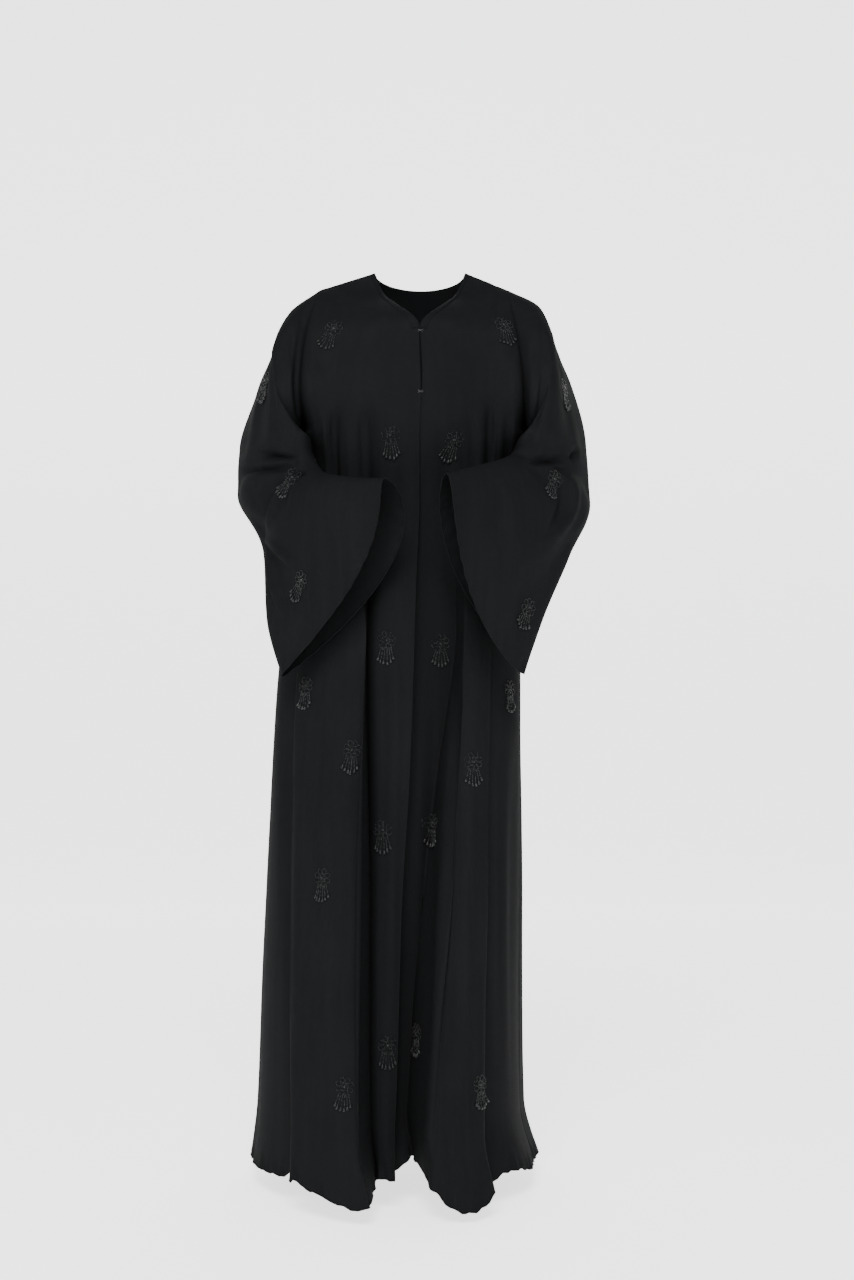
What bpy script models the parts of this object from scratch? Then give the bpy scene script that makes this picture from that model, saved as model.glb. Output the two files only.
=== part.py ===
"""An open abaya cloak as it hangs when worn, hollow, in sewn pieces of thin cloth.

Metres, +Z up. The front faces -Y and +X is the viewer's right. The origin lies between the
two shoulder seams, at the base of the neck. Left and right are the viewer's.

The body is one surface with two parameters. A station runs up it: 0 at the hem, 1 at the
underarm, 2 at the shoulder seam. A turn runs round it, knot by knot along a table of folds,
so the columns of each panel follow its ridges and troughs.
"""

import math

import bmesh
import bpy
import numpy as np
from mathutils import Vector
from mathutils.bvhtree import BVHTree

# Driving sizes
HEM_Z = -1.335
UNDERARM_Z = -0.240
WAIST_Z = -0.550
KNEE_Z = -0.850
CLOTH = 0.0020
SEAM_GAP = 0.0003
FRONT_GAP = 0.0024
NECK_HALF = 0.068
NECK_SIDE = (0.020, 0.006)
BACK_NECK = (0.064, -0.014)
CENTRE_X = -0.008
HEM_FOLLOWS_FOLD = 0.12
KNEE_TOWARDS_HEM = 0.4
SHOULDER_TURN = 0.25

# How many columns and rows of faces each piece has
FRONT_COLUMNS = 18
BACK_COLUMNS = 20
SKIRT_ROWS = 21
ARM_ROWS = 10
SLEEVE_ROWS = 18

# A sleeve is cut into three short tubes: the row of faces where each one starts
SLEEVE_PARTS = {"": 0, "_middle": 7, "_bell": 11}
TUBE_GAP = 0.0012

# Level sections of the body, top to hem.
# height, left side x, right side x, side seam y, front y, back y, front squareness, back squareness
BODY_SECTIONS = np.array([
    (-0.190, -0.170, 0.154, 0.020, -0.122, 0.113, 0.85, 0.90),
    (-0.240, -0.170, 0.154, 0.020, -0.122, 0.112, 0.85, 0.90),
    (-0.320, -0.169, 0.146, 0.022, -0.114, 0.102, 0.85, 0.90),
    (-0.420, -0.180, 0.143, 0.026, -0.121, 0.118, 0.82, 0.90),
    (-0.550, -0.209, 0.151, 0.028, -0.131, 0.150, 0.80, 0.88),
    (-0.700, -0.221, 0.152, 0.030, -0.156, 0.172, 0.77, 0.86),
    (-0.900, -0.231, 0.153, 0.030, -0.176, 0.190, 0.74, 0.84),
    (-1.100, -0.239, 0.151, 0.030, -0.192, 0.204, 0.71, 0.82),
    (-1.250, -0.243, 0.152, 0.030, -0.201, 0.213, 0.70, 0.80),
    (-1.335, -0.252, 0.172, 0.030, -0.205, 0.218, 0.70, 0.80),
])

# The line where the fronts meet, and how far the right front passes under the left one.
# height, x, underlap
FRONT_EDGE = np.array([
    (-0.093, 0.000, 0.000),
    (-0.350, 0.000, 0.000),
    (-0.450, -0.004, 0.006),
    (-0.600, -0.008, 0.020),
    (-0.750, -0.010, 0.026),
    (-0.950, -0.020, 0.028),
    (-1.150, -0.024, 0.028),
    (-1.335, -0.033, 0.028),
])

# The folds round the skirt, a row for each ridge or trough, from the right front's edge round
# the right side, the back and the left side to the left front's edge.
# Degrees at the waist and at the hem from the middle of the front, and how far the cloth stands
# out at the waist, the knee and the hem. A front edge's own degrees come from FRONT_EDGE.
RIGHT_FOLDS = np.array([
    (3, -6, -0.030, -0.055, -0.080),
    (16, 8, -0.036, -0.072, -0.098),
    (33, 18, -0.034, -0.078, -0.108),
    (31, 15.5, 0.000, -0.004, -0.004),
    (39, 28, 0.006, 0.010, 0.018),
    (46, 42, 0.005, 0.005, 0.006),
    (46, 41, -0.004, -0.020, -0.044),
    (62, 58, -0.003, -0.010, -0.026),
    (76, 75, 0.000, -0.003, -0.010),
    (90, 90, 0.000, 0.000, 0.000),
])
BACK_FOLDS = np.array([
    (90, 90, 0.000, 0.000, 0.000),
    (111, 109, 0.002, 0.010, 0.018),
    (127, 126, -0.004, -0.016, -0.030),
    (149, 150, 0.003, 0.012, 0.020),
    (165, 163, -0.004, -0.014, -0.026),
    (182, 184, 0.003, 0.014, 0.024),
    (200, 201, -0.004, -0.018, -0.032),
    (221, 224, 0.003, 0.010, 0.018),
    (238, 241, -0.003, -0.014, -0.026),
    (254, 257, 0.002, 0.006, 0.012),
    (270, 270, 0.000, 0.000, 0.000),
])
LEFT_FOLDS = np.array([
    (-90, -90, 0.000, 0.000, 0.000),
    (-74, -70, -0.002, -0.012, -0.030),
    (-53, -44, -0.007, -0.026, -0.046),
    (-54, -45, 0.002, 0.000, -0.006),
    (-36, -31, 0.004, 0.004, 0.004),
    (-15, -9.8, 0.007, 0.010, 0.018),
    (-17, -12.5, -0.020, -0.056, -0.076),
    (-10, -6, -0.003, -0.042, -0.064),
    (-1, -2, 0.000, -0.040, -0.062),
    (8, 2, -0.003, -0.046, -0.070),
])

# Gathers that fall from the bust: x above, x below, top z, bottom z, half width, depth
GATHERS = np.array([
    (-0.150, -0.158, -0.200, -0.480, 0.008, 0.007),
    (-0.122, -0.128, -0.195, -0.560, 0.008, 0.011),
    (-0.078, -0.074, -0.190, -0.560, 0.013, 0.010),
    (-0.040, -0.038, -0.240, -0.500, 0.011, 0.003),
    (0.036, 0.040, -0.240, -0.500, 0.011, 0.003),
    (0.073, 0.078, -0.200, -0.520, 0.009, 0.005),
    (0.102, 0.104, -0.190, -0.560, 0.008, 0.009),
    (0.126, 0.124, -0.200, -0.500, 0.008, 0.007),
])
GATHER_FADE = 0.050

# The upper body, from the underarm (0) to the shoulder seam (1).
# share, centre front or neck edge x, its z, front y at the middle, back y, back z
LEFT_UPPER = np.array([
    (0.00, 0.000, -0.240, -0.122, 0.112, -0.240),
    (0.25, 0.000, -0.167, -0.121, 0.113, -0.185),
    (0.50, 0.000, -0.093, -0.099, 0.104, -0.130),
    (0.70, -0.031, -0.054, -0.080, 0.094, -0.084),
    (0.85, -0.053, -0.029, -0.056, 0.082, -0.048),
    (1.00, -0.068, 0.006, 0.020, 0.064, -0.014),
])
RIGHT_UPPER = LEFT_UPPER * (1, -1, 1, 1, 1, 1)

# The deep armholes: shoulder tip x, middle x, underarm x, by side
ARMHOLE_X = {"left": (-0.149, -0.173, -0.170), "right": (0.130, 0.148, 0.154)}
ARMHOLE_TIP_Z = -0.020
ARMHOLE_Y = 0.014
ARMHOLE_FRONT = 0.066
ARMHOLE_BACK = 0.074
ARMHOLE_LEAN = 0.35
PANEL_TURN = 60.0
PANEL_TURN_FROM = 0.35
FRONT_SEAM_FROM = 0.55
BACK_SEAM_FROM = 0.60

# The sleeves' rings beyond the armhole, each by four points: the front or upper side, the
# outer side, the back or lower side, and the side towards the body. The last is the cuff.
LEFT_RINGS = np.array([
    ((-0.190, -0.066, -0.150), (-0.195, 0.012, -0.056), (-0.192, 0.088, -0.145), (-0.175, 0.018, -0.244)),
    ((-0.208, -0.067, -0.178), (-0.216, 0.012, -0.105), (-0.210, 0.088, -0.175), (-0.177, 0.018, -0.249)),
    ((-0.196, -0.072, -0.213), (-0.243, 0.012, -0.172), (-0.224, 0.086, -0.217), (-0.178, 0.016, -0.256)),
    ((-0.180, -0.082, -0.250), (-0.264, 0.006, -0.250), (-0.238, 0.076, -0.268), (-0.178, 0.008, -0.265)),
    ((-0.172, -0.100, -0.280), (-0.266, -0.030, -0.305), (-0.245, 0.046, -0.338), (-0.178, -0.004, -0.284)),
    ((-0.140, -0.146, -0.292), (-0.205, -0.108, -0.375), (-0.228, -0.030, -0.416), (-0.160, -0.072, -0.340)),
    ((-0.096, -0.200, -0.308), (-0.152, -0.170, -0.425), (-0.222, -0.084, -0.512), (-0.108, -0.138, -0.392)),
    ((-0.048, -0.250, -0.324), (-0.085, -0.215, -0.452), (-0.198, -0.128, -0.600), (-0.040, -0.162, -0.438)),
])
RIGHT_RINGS = np.array([
    ((0.166, -0.066, -0.150), (0.180, 0.012, -0.048), (0.168, 0.088, -0.145), (0.159, 0.018, -0.244)),
    ((0.185, -0.067, -0.178), (0.200, 0.012, -0.096), (0.187, 0.088, -0.175), (0.161, 0.018, -0.249)),
    ((0.176, -0.072, -0.213), (0.226, 0.012, -0.160), (0.204, 0.086, -0.217), (0.162, 0.016, -0.256)),
    ((0.162, -0.082, -0.250), (0.243, 0.006, -0.244), (0.216, 0.076, -0.268), (0.162, 0.008, -0.265)),
    ((0.152, -0.100, -0.280), (0.245, -0.030, -0.320), (0.228, 0.046, -0.345), (0.160, -0.004, -0.284)),
    ((0.124, -0.146, -0.290), (0.196, -0.114, -0.390), (0.214, -0.036, -0.420), (0.144, -0.074, -0.345)),
    ((0.084, -0.200, -0.304), (0.134, -0.174, -0.445), (0.178, -0.086, -0.512), (0.101, -0.140, -0.400)),
    ((0.040, -0.250, -0.319), (0.077, -0.215, -0.495), (0.149, -0.124, -0.592), (0.046, -0.162, -0.440)),
])

# Sleeve folds: degrees round the ring (0 front or upper, 90 outer, 180 back or lower), ring
# where the fold starts and ends, half width in degrees, half width in rings, depth
LEFT_SLEEVE_FOLDS = np.array([
    (62, 62, 1.6, 4.6, 16, 9.0, 0.006),
    (30, 120, 4.7, 5.0, 90, 0.28, 0.007),
    (20, 100, 5.5, 5.7, 90, 0.25, 0.006),
    (128, 128, 5.2, 7.6, 20, 9.0, 0.008),
])
RIGHT_SLEEVE_FOLDS = np.array([
    (66, 66, 1.8, 4.4, 16, 9.0, 0.006),
    (36, 116, 4.6, 4.9, 90, 0.28, 0.006),
    (24, 104, 5.4, 5.6, 90, 0.25, 0.006),
    (120, 120, 5.4, 7.7, 20, 9.0, 0.009),
])
FADE_RINGS = 0.7
FADE_DEGREES = 25

# The neck band
BAND_THICK = 0.0012

# A beaded flower with hanging drops
PETALS = 8
FLOWER_RADIUS = 0.0140
NOTCH_RADIUS = 0.0095
APPLIQUE_THICK = 0.0020
STRANDS = 6
STRAND_FAN = 16.0
STRAND_ROOT = 0.0012
STRAND_TIP = 0.0034
STRAND_LENGTHS = (0.0190, 0.0225, 0.0245, 0.0250, 0.0220, 0.0180)
BAR_HALF = 0.0085
BAR_TOP = 0.0087
BAR_LOW = 0.0109
REST_GAP = 0.0005

# Where the flowers are sewn: x, z, lean in degrees, seen from the front
FRONT_FLOWERS = (
    (-0.126, -0.091, -22), (0.123, -0.084, 6), (-0.228, -0.165, 10), (0.213, -0.174, -6),
    (-0.042, -0.252, 2), (0.050, -0.258, -18), (-0.184, -0.312, -38), (0.197, -0.313, -34),
    (-0.169, -0.462, -34), (0.156, -0.501, -30), (-0.048, -0.548, 0), (0.030, -0.552, 0),
    (-0.165, -0.614, 4), (0.132, -0.620, 0), (0.077, -0.722, 0), (-0.096, -0.704, -6),
    (-0.053, -0.820, 0), (0.020, -0.814, 0), (-0.139, -0.886, 2), (-0.046, -1.128, 0),
    (-0.004, -1.115, 0), (-0.105, -1.175, -4), (0.086, -1.178, 4),
)
# The same, seen from behind
BACK_FLOWERS = (
    (-0.090, -0.150, 8), (0.070, -0.210, -6), (-0.030, -0.400, 0), (-0.130, -0.560, 6),
    (0.095, -0.640, -4), (-0.050, -0.790, 0), (0.030, -0.960, 4), (-0.150, -0.980, -5),
    (0.100, -1.120, 0), (-0.060, -1.190, 6),
)
FAR = 1.0
STEP_OUT = 0.010
SEAT_STEPS = 61

# Hooks and eyes: heights of the two closures, and their small sizes
CLOSURE_Z = (-0.099, -0.189)
HOOK_LENGTH = 0.0068
HOOK_FOOT = 0.0034
HOOK_HALF = 0.0014
WIRE = 0.0008
EYE_OUTER = 0.0030
EYE_INNER = 0.0017
EYE_SIDES = 12


# Small mathematics


def smooth(x, y, at):
    """A curve through the rows of y at the places x, with no overshoot (a monotone cubic)."""
    x, y, at = np.asarray(x, float), np.asarray(y, float), np.asarray(at, float)
    step = np.diff(x).reshape((-1,) + (1,) * (y.ndim - 1))
    rise = np.diff(y, axis=0) / step
    slope = np.zeros_like(y)
    slope[0], slope[-1] = rise[0], rise[-1]
    before, after = rise[:-1], rise[1:]
    same = before * after > 0
    total = np.where(same, before + after, 1.0)
    slope[1:-1] = np.where(same, 2 * before * after / total, 0.0)
    i = np.clip(np.searchsorted(x, at, side="right") - 1, 0, len(x) - 2)
    t = ((at - x[i]) / (x[i + 1] - x[i])).reshape(at.shape + (1,) * (y.ndim - 1))
    h = step[i]
    return (
        (1 + 2 * t) * (1 - t) ** 2 * y[i]
        + t * (1 - t) ** 2 * h * slope[i]
        + t * t * (3 - 2 * t) * y[i + 1]
        + t * t * (t - 1) * h * slope[i + 1]
    )


def ease(t):
    """0 below 0, 1 above 1, and level at both ends."""
    t = np.clip(t, 0.0, 1.0)
    return t * t * (3 - 2 * t)


def by_height(table, column, z):
    """A column of a table whose first column is the height, listed from the top down."""
    return smooth(table[::-1, 0], table[::-1, column], z)


def unit(v):
    return v / np.linalg.norm(v, axis=-1, keepdims=True)


# The body's surface


def edge_x(side, z):
    """x of a front's free edge: the left one on the line, the right one just past it or under it."""
    line = by_height(FRONT_EDGE, 1, z)
    under = by_height(FRONT_EDGE, 2, z)
    if side == "left":
        return line - FRONT_GAP / 2
    return line + FRONT_GAP / 2 - under


def fold_stations(folds, z):
    """Degrees and stand-out of every fold at the heights z: arrays of folds by heights.

    Above the waist the folds fade into an even spread across the panel.
    """
    even = np.linspace(folds[0, 0], folds[-1, 0], len(folds))
    heights = np.array([HEM_Z, KNEE_Z, WAIST_Z, UNDERARM_Z])
    knee = folds[:, 0] + (folds[:, 1] - folds[:, 0]) * KNEE_TOWARDS_HEM
    degrees = np.stack([folds[:, 1], knee, folds[:, 0], even])
    out = np.stack([folds[:, 4], folds[:, 3], folds[:, 2], np.zeros(len(folds))])
    return smooth(heights, degrees, z).T, smooth(heights, out, z).T


def gathers(x, z):
    """How far the gathers under the bust draw the front inwards at x, z."""
    depth = np.zeros_like(x)
    for x_top, x_low, z_top, z_low, half, deep in GATHERS:
        middle = x_top + (x_low - x_top) * (z - z_top) / (z_low - z_top)
        fade = ease((z_top - z) / GATHER_FADE) * ease((z - z_low) / (3 * GATHER_FADE))
        depth += deep * fade * np.exp(-(((x - middle) / half) ** 2))
    return depth


def section(z):
    """The level section at the heights z: centre x, half width, and the seven table values."""
    left, right, side_y, front_y, back_y, front_e, back_e = (
        by_height(BODY_SECTIONS, c, z) for c in range(1, 8)
    )
    return (left + right) / 2, (right - left) / 2, side_y, front_y, back_y, front_e, back_e


def skirt(panel, turn, z):
    """Points of a panel below the underarm, at turns 0..1 across it and heights z."""
    folds = {"left": LEFT_FOLDS, "right": RIGHT_FOLDS, "back": BACK_FOLDS}[panel]
    centre, half, side_y, front_y, back_y, front_e, back_e = section(z)
    degrees, out = fold_stations(folds, z)
    if panel != "back":
        own = np.degrees(np.arcsin((edge_x(panel, z) - centre) / half))
        edge, side = (-1, 0) if panel == "left" else (0, -1)
        spread = np.linspace(own, degrees[side], len(folds))
        if panel == "left":
            spread = spread[::-1]
        high = ease((z - WAIST_Z) / (UNDERARM_Z - WAIST_Z))
        degrees = degrees * (1 - high) + spread * high
        degrees[edge] = own
    knots = np.linspace(0, 1, len(folds))
    angle = np.radians(smooth(knots, degrees, turn)).T
    out = smooth(knots, out, turn).T
    sin, cos = np.sin(angle), np.cos(angle)
    centre, half, side_y = centre[:, None], half[:, None], side_y[:, None]
    x = centre + half * sin
    if panel == "back":
        deep = back_y[:, None] - side_y
        y = side_y + deep * np.abs(cos) ** back_e[:, None]
    else:
        deep = side_y - front_y[:, None]
        y = side_y - deep * np.abs(cos) ** front_e[:, None]
        out = out - gathers(x, z[:, None])
    normal = unit(np.stack([sin * deep, -cos * half], axis=-1))
    x = x + out * normal[..., 0]
    y = y + out * normal[..., 1]
    down = (UNDERARM_Z - z[:, None]) / (UNDERARM_Z - HEM_Z)
    height = z[:, None] - HEM_FOLLOWS_FOLD * out * down**2
    return np.stack([x, y, height], axis=-1)


def armhole(side, share, facing):
    """Points of the armhole from the underarm (0) to the shoulder tip (1), its front or back half."""
    tip, middle, under = ARMHOLE_X[side]
    angle = np.radians(180 * np.asarray(share, float) - 90)
    sin, cos = np.sin(angle), np.cos(angle)
    rise = (ARMHOLE_TIP_Z - UNDERARM_Z) / 2
    deep = -ARMHOLE_FRONT if facing == "front" else ARMHOLE_BACK
    x = middle + (tip - under) / 2 * sin + (tip + under - 2 * middle) / 2 * sin**2
    y = section(np.array([UNDERARM_Z]))[2][0]
    base = y + (ARMHOLE_Y - y) * share
    return np.stack([x, base + deep * cos, UNDERARM_Z + rise * (1 + sin)], axis=-1)


def panel_turn(share):
    """Degrees at which a row meets the armhole: a full quarter at the underarm, less above it."""
    return 90 - (90 - PANEL_TURN) * ease(np.asarray(share) / PANEL_TURN_FROM)


def upper_front(side, turn, share):
    """Points of a front above the underarm, turn 0 at its free or neck edge."""
    table = LEFT_UPPER if side == "left" else RIGHT_UPPER
    edge_at, edge_z, front_y = (smooth(table[:, 0], table[:, c], share)[:, None] for c in (1, 2, 3))
    sign = -1 if side == "left" else 1
    edge_at = edge_at + sign * FRONT_GAP / 2
    end = armhole(side, share, "front")
    end_x, end_y, end_z = (end[:, None, i] for i in range(3))
    limit = np.radians(panel_turn(share))[:, None]
    half = (end_x - CENTRE_X) / np.sin(limit)
    start = np.arcsin((edge_at - CENTRE_X) / half)
    angle = start + (limit - start) * turn[None, :]
    x = CENTRE_X + half * np.sin(angle)
    square = BODY_SECTIONS[1, 6]
    curve = ((np.cos(angle) - np.cos(limit)) / (1 - np.cos(limit))).clip(0, None) ** square
    y = end_y + (front_y - end_y) * curve
    across = (x - edge_at) / (end_x - edge_at)
    seam_y = NECK_SIDE[0] + (end_y - NECK_SIDE[0]) * across
    near_seam = ease((share - FRONT_SEAM_FROM) / (1 - FRONT_SEAM_FROM))[:, None]
    y = y * (1 - near_seam) + seam_y * near_seam
    z = edge_z + (end_z - edge_z) * across
    return np.stack([x, y + gathers(x, z), z], axis=-1)


def back_top(turn, share):
    """Lines from the armhole to the neck's side, round the back neck, and out again.

    At share 1 this is the back's upper edge, with the two shoulder seams.
    """
    right, left = (armhole(side, share, "back")[:, None, :] for side in ("right", "left"))
    share_right = np.clip(turn / SHOULDER_TURN, 0, 1)[:, None]
    share_left = np.clip((1 - turn) / SHOULDER_TURN, 0, 1)[:, None]
    neck_right = np.array([NECK_HALF, *NECK_SIDE])
    neck_left = np.array([-NECK_HALF, *NECK_SIDE])
    across = np.cos(np.pi * np.clip((turn - SHOULDER_TURN) / (1 - 2 * SHOULDER_TURN), 0, 1))
    round_off = np.sqrt(np.clip(1 - across**2, 0, 1))
    neck = np.stack([
        NECK_HALF * across,
        NECK_SIDE[0] + (BACK_NECK[0] - NECK_SIDE[0]) * round_off,
        NECK_SIDE[1] + (BACK_NECK[1] - NECK_SIDE[1]) * round_off,
    ], axis=-1)
    on_right = right + (neck_right - right) * share_right
    on_left = left + (neck_left - left) * share_left
    first, last = (turn < SHOULDER_TURN)[:, None], (turn > 1 - SHOULDER_TURN)[:, None]
    return np.where(first, on_right, np.where(last, on_left, neck))


def upper_back(turn, share):
    """Points of the back above the underarm, turn 0 at the right armhole and 1 at the left."""
    back_y, back_z = (smooth(LEFT_UPPER[:, 0], LEFT_UPPER[:, c], share)[:, None] for c in (4, 5))
    right, left = armhole("right", share, "back"), armhole("left", share, "back")
    limit = np.radians(panel_turn(share))[:, None]
    angle = limit * (1 - 2 * turn[None, :])
    on_right = angle > 0
    end_x = np.where(on_right, right[:, None, 0], left[:, None, 0])
    end_z = right[:, None, 2]
    end_y = right[:, None, 1]
    square = BODY_SECTIONS[1, 7]
    curve = ((np.cos(angle) - np.cos(limit)) / (1 - np.cos(limit))).clip(0, None)
    x = CENTRE_X + (end_x - CENTRE_X) * np.abs(np.sin(angle)) / np.sin(limit)
    y = end_y + (back_y - end_y) * curve**square
    z = end_z + (back_z - end_z) * curve
    points = np.stack([x, y, z], axis=-1)
    near_top = ease((share - BACK_SEAM_FROM) / (1 - BACK_SEAM_FROM))[:, None, None]
    return points * (1 - near_top) + back_top(turn, share) * near_top


def armhole_normals(side, share, facing):
    """One shared direction across the armhole seam, so the two cut edges lie face to face."""
    angle = np.radians(180 * share - 90)
    deep = -1 if facing == "front" else 1
    outward = -1.0 if side == "left" else 1.0
    lean = ARMHOLE_LEAN + (1 - ARMHOLE_LEAN) * (1 - np.sin(angle)) / 2
    return unit(np.stack([outward * lean, deep * np.cos(angle), np.sin(angle)], axis=-1))


def grid_normals(points, closed=False):
    """Unit normals of a grid of points by its neighbours."""
    if closed:
        across = np.roll(points, -1, axis=1) - np.roll(points, 1, axis=1)
    else:
        across = np.gradient(points, axis=1)
    return unit(np.cross(across, np.gradient(points, axis=0)))


def panel_grid(panel, turn, skirt_rows, arm_rows):
    """A body panel's outer points and normals, rows from the hem up, columns right to left."""
    low = np.linspace(HEM_Z, UNDERARM_Z, skirt_rows + 1)
    share = np.linspace(0, 1, arm_rows + 1)
    if panel == "back":
        high = upper_back(turn, share[1:])
    elif panel == "right":
        high = upper_front("right", turn, share[1:])
    else:
        high = upper_front("left", 1 - turn, share[1:])
    points = np.concatenate([skirt(panel, turn, low), high])
    normals = grid_normals(points)
    if normals[0, len(turn) // 2, 1] * points[0, len(turn) // 2, 1] < 0:
        normals = -normals
    above = slice(skirt_rows, None)
    if panel == "back":
        ends = ((0, "right", "back"), (-1, "left", "back"))
    else:
        ends = (((-1, "right", "front"),) if panel == "right" else ((0, "left", "front"),))
    for column, side, facing in ends:
        x = points[: skirt_rows + 1, column, 0]
        z = points[: skirt_rows + 1, column, 2]
        slope = np.gradient(x, z)
        outward = -1.0 if side == "left" else 1.0
        normals[: skirt_rows + 1, column] = unit(
            np.stack([outward + 0 * x, 0 * x, -outward * slope], axis=-1)
        )
        normals[above, column] = armhole_normals(side, share, facing)
    return points, normals


def seam_normal(side):
    """The direction across a shoulder seam: square to its straight line, and up."""
    tip = armhole(side, 1.0, "front")
    neck = np.array([math.copysign(NECK_HALF, tip[0]), *NECK_SIDE])
    line = unit(tip - neck)
    up = np.array([0.0, 0.0, 1.0])
    return unit(up - line * line[2])


# The sleeves' surface


def sleeve_rings(side, count):
    """Rings of points round the sleeve, armhole first: rings by points by xyz."""
    half = count // 2
    share = np.linspace(0, 1, half + 1)
    front = armhole(side, share, "front")
    back = armhole(side, share[::-1], "back")[1:-1]
    rings = [np.concatenate([front, back])]
    angle = np.radians(np.arange(count) * 360 / count - 90)[:, None]
    for row in LEFT_RINGS if side == "left" else RIGHT_RINGS:
        upper, outer, lower, inner = row
        middle = (upper + outer + lower + inner) / 4
        skew = (upper + lower - outer - inner) / 4
        rings.append(
            middle
            + (upper - lower) / 2 * np.cos(angle)
            + (outer - inner) / 2 * np.sin(angle)
            + skew * np.cos(2 * angle)
        )
    return np.stack(rings)


def sleeve_grid(side, count, rows):
    """The sleeve's outer points and normals, rows from the armhole to the cuff."""
    rings = sleeve_rings(side, count)
    last = len(rings) - 1
    at = np.linspace(0, last, rows + 1)
    points = smooth(np.arange(last + 1), rings, at)
    normals = grid_normals(points, closed=True)
    middle = points.mean(axis=1, keepdims=True)
    if ((points - middle) * normals).sum() < 0:
        normals = -normals
    degrees = np.arange(count) * 360 / count - 90
    ring, turn = np.meshgrid(at, degrees, indexing="ij")
    for first, final, start, end, wide, long, deep in (
        LEFT_SLEEVE_FOLDS if side == "left" else RIGHT_SLEEVE_FOLDS
    ):
        across = (first + final) / 2
        if long > 1:
            along = ease((ring - start) / FADE_RINGS) * ease((end - ring) / FADE_RINGS)
            round_it = np.exp(-(((turn - across) / wide) ** 2))
        else:
            line = start + (end - start) * (turn - first) / (final - first)
            along = np.exp(-(((ring - line) / long) ** 2))
            begun = ease((turn - first) / FADE_DEGREES + 0.5)
            round_it = begun * ease((final - turn) / FADE_DEGREES + 0.5)
        points = points - normals * (deep * along * round_it)[..., None]
    half = count // 2
    share = np.linspace(0, 1, half + 1)
    normals[0] = np.concatenate([
        armhole_normals(side, share, "front"),
        armhole_normals(side, share[::-1], "back")[1:-1],
    ])
    points[0] += unit(points[1] - points[0]) * SEAM_GAP
    return points, normals


# Meshes


def material(name, colour, roughness, metallic=0.0):
    made = bpy.data.materials.new(name)
    made.use_nodes = True
    shader = made.node_tree.nodes["Principled BSDF"]
    shader.inputs["Base Color"].default_value = (*colour, 1.0)
    shader.inputs["Roughness"].default_value = roughness
    shader.inputs["Metallic"].default_value = metallic
    return made


def link(name, mesh, finish):
    made = bpy.data.objects.new(name, mesh)
    mesh.materials.append(finish)
    bpy.context.scene.collection.objects.link(made)
    return made


def wall(name, outer, inner, finish, closed=False):
    """A closed wall between two grids of points, with its cut edges."""
    rows, columns = outer.shape[:2]
    points = np.concatenate([outer.reshape(-1, 3), inner.reshape(-1, 3)])
    skin = rows * columns
    faces = []
    spans = columns if closed else columns - 1
    for r in range(rows - 1):
        for c in range(spans):
            a, b = r * columns + c, r * columns + (c + 1) % columns
            d, e = a + columns, b + columns
            faces += [(a, b, e), (a, e, d), (a + skin, e + skin, b + skin), (a + skin, d + skin, e + skin)]
    rim = []
    for c in range(spans):
        rim.append((c, (c + 1) % columns))
        top = (rows - 1) * columns
        rim.append((top + (c + 1) % columns, top + c))
    if not closed:
        for r in range(rows - 1):
            rim.append((r * columns + columns - 1, (r + 1) * columns + columns - 1))
            rim.append(((r + 1) * columns, r * columns))
    for a, b in rim:
        faces += [(b, a, a + skin), (b, a + skin, b + skin)]
    corners = points[np.array(faces)]
    if np.linalg.det(corners).sum() < 0:
        faces = [face[::-1] for face in faces]
    mesh = bpy.data.meshes.new(name)
    mesh.from_pydata(points.tolist(), [], faces)
    mesh.shade_smooth()
    mesh.set_sharp_from_angle(angle=math.radians(50))
    return link(name, mesh, finish)


def drawn_in(points, column):
    """The grid with one edge column moved towards its neighbours, to open a seam."""
    points = points.copy()
    inner = 1 if column == 0 else -2
    points[:, column] += unit(points[:, inner] - points[:, column]) * SEAM_GAP / 2
    return points


def make_body(cloth, band):
    """The two fronts, the back and the neck band's three pieces."""
    made = {}
    turn = np.linspace(0, 1, FRONT_COLUMNS + 1)
    for side in ("left", "right"):
        points, normals = panel_grid(side, turn, SKIRT_ROWS, ARM_ROWS)
        normals[-1] = seam_normal(side)
        points = drawn_in(points, 0 if side == "left" else -1)
        points[-1, :, 1] -= SEAM_GAP / 2
        made[side] = wall("front_" + side, points, points - normals * CLOTH, cloth)
        neck_row = SKIRT_ROWS + ARM_ROWS // 2
        edge = slice(-2, None) if side == "left" else slice(0, 2)
        strip, out = points[neck_row:, edge], normals[neck_row:, edge]
        low = strip + out * SEAM_GAP
        wall("neck_band_" + side, strip + out * (SEAM_GAP + BAND_THICK), low, band)
    turn = np.linspace(0, 1, BACK_COLUMNS + 1)
    points, normals = panel_grid("back", turn, SKIRT_ROWS, ARM_ROWS)
    shoulder = round(BACK_COLUMNS * SHOULDER_TURN)
    normals[-1, : shoulder + 1] = seam_normal("right")
    normals[-1, -shoulder - 1 :] = seam_normal("left")
    points = drawn_in(drawn_in(points, 0), -1)
    points[-1, :, 1] += SEAM_GAP / 2
    made["back"] = wall("back", points, points - normals * CLOTH, cloth)
    neck = slice(shoulder, BACK_COLUMNS - shoulder + 1)
    strip, out = points[-2:, neck], normals[-2:, neck]
    wall("neck_band_back", strip + out * (SEAM_GAP + BAND_THICK), strip + out * SEAM_GAP, band)
    return made


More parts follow.
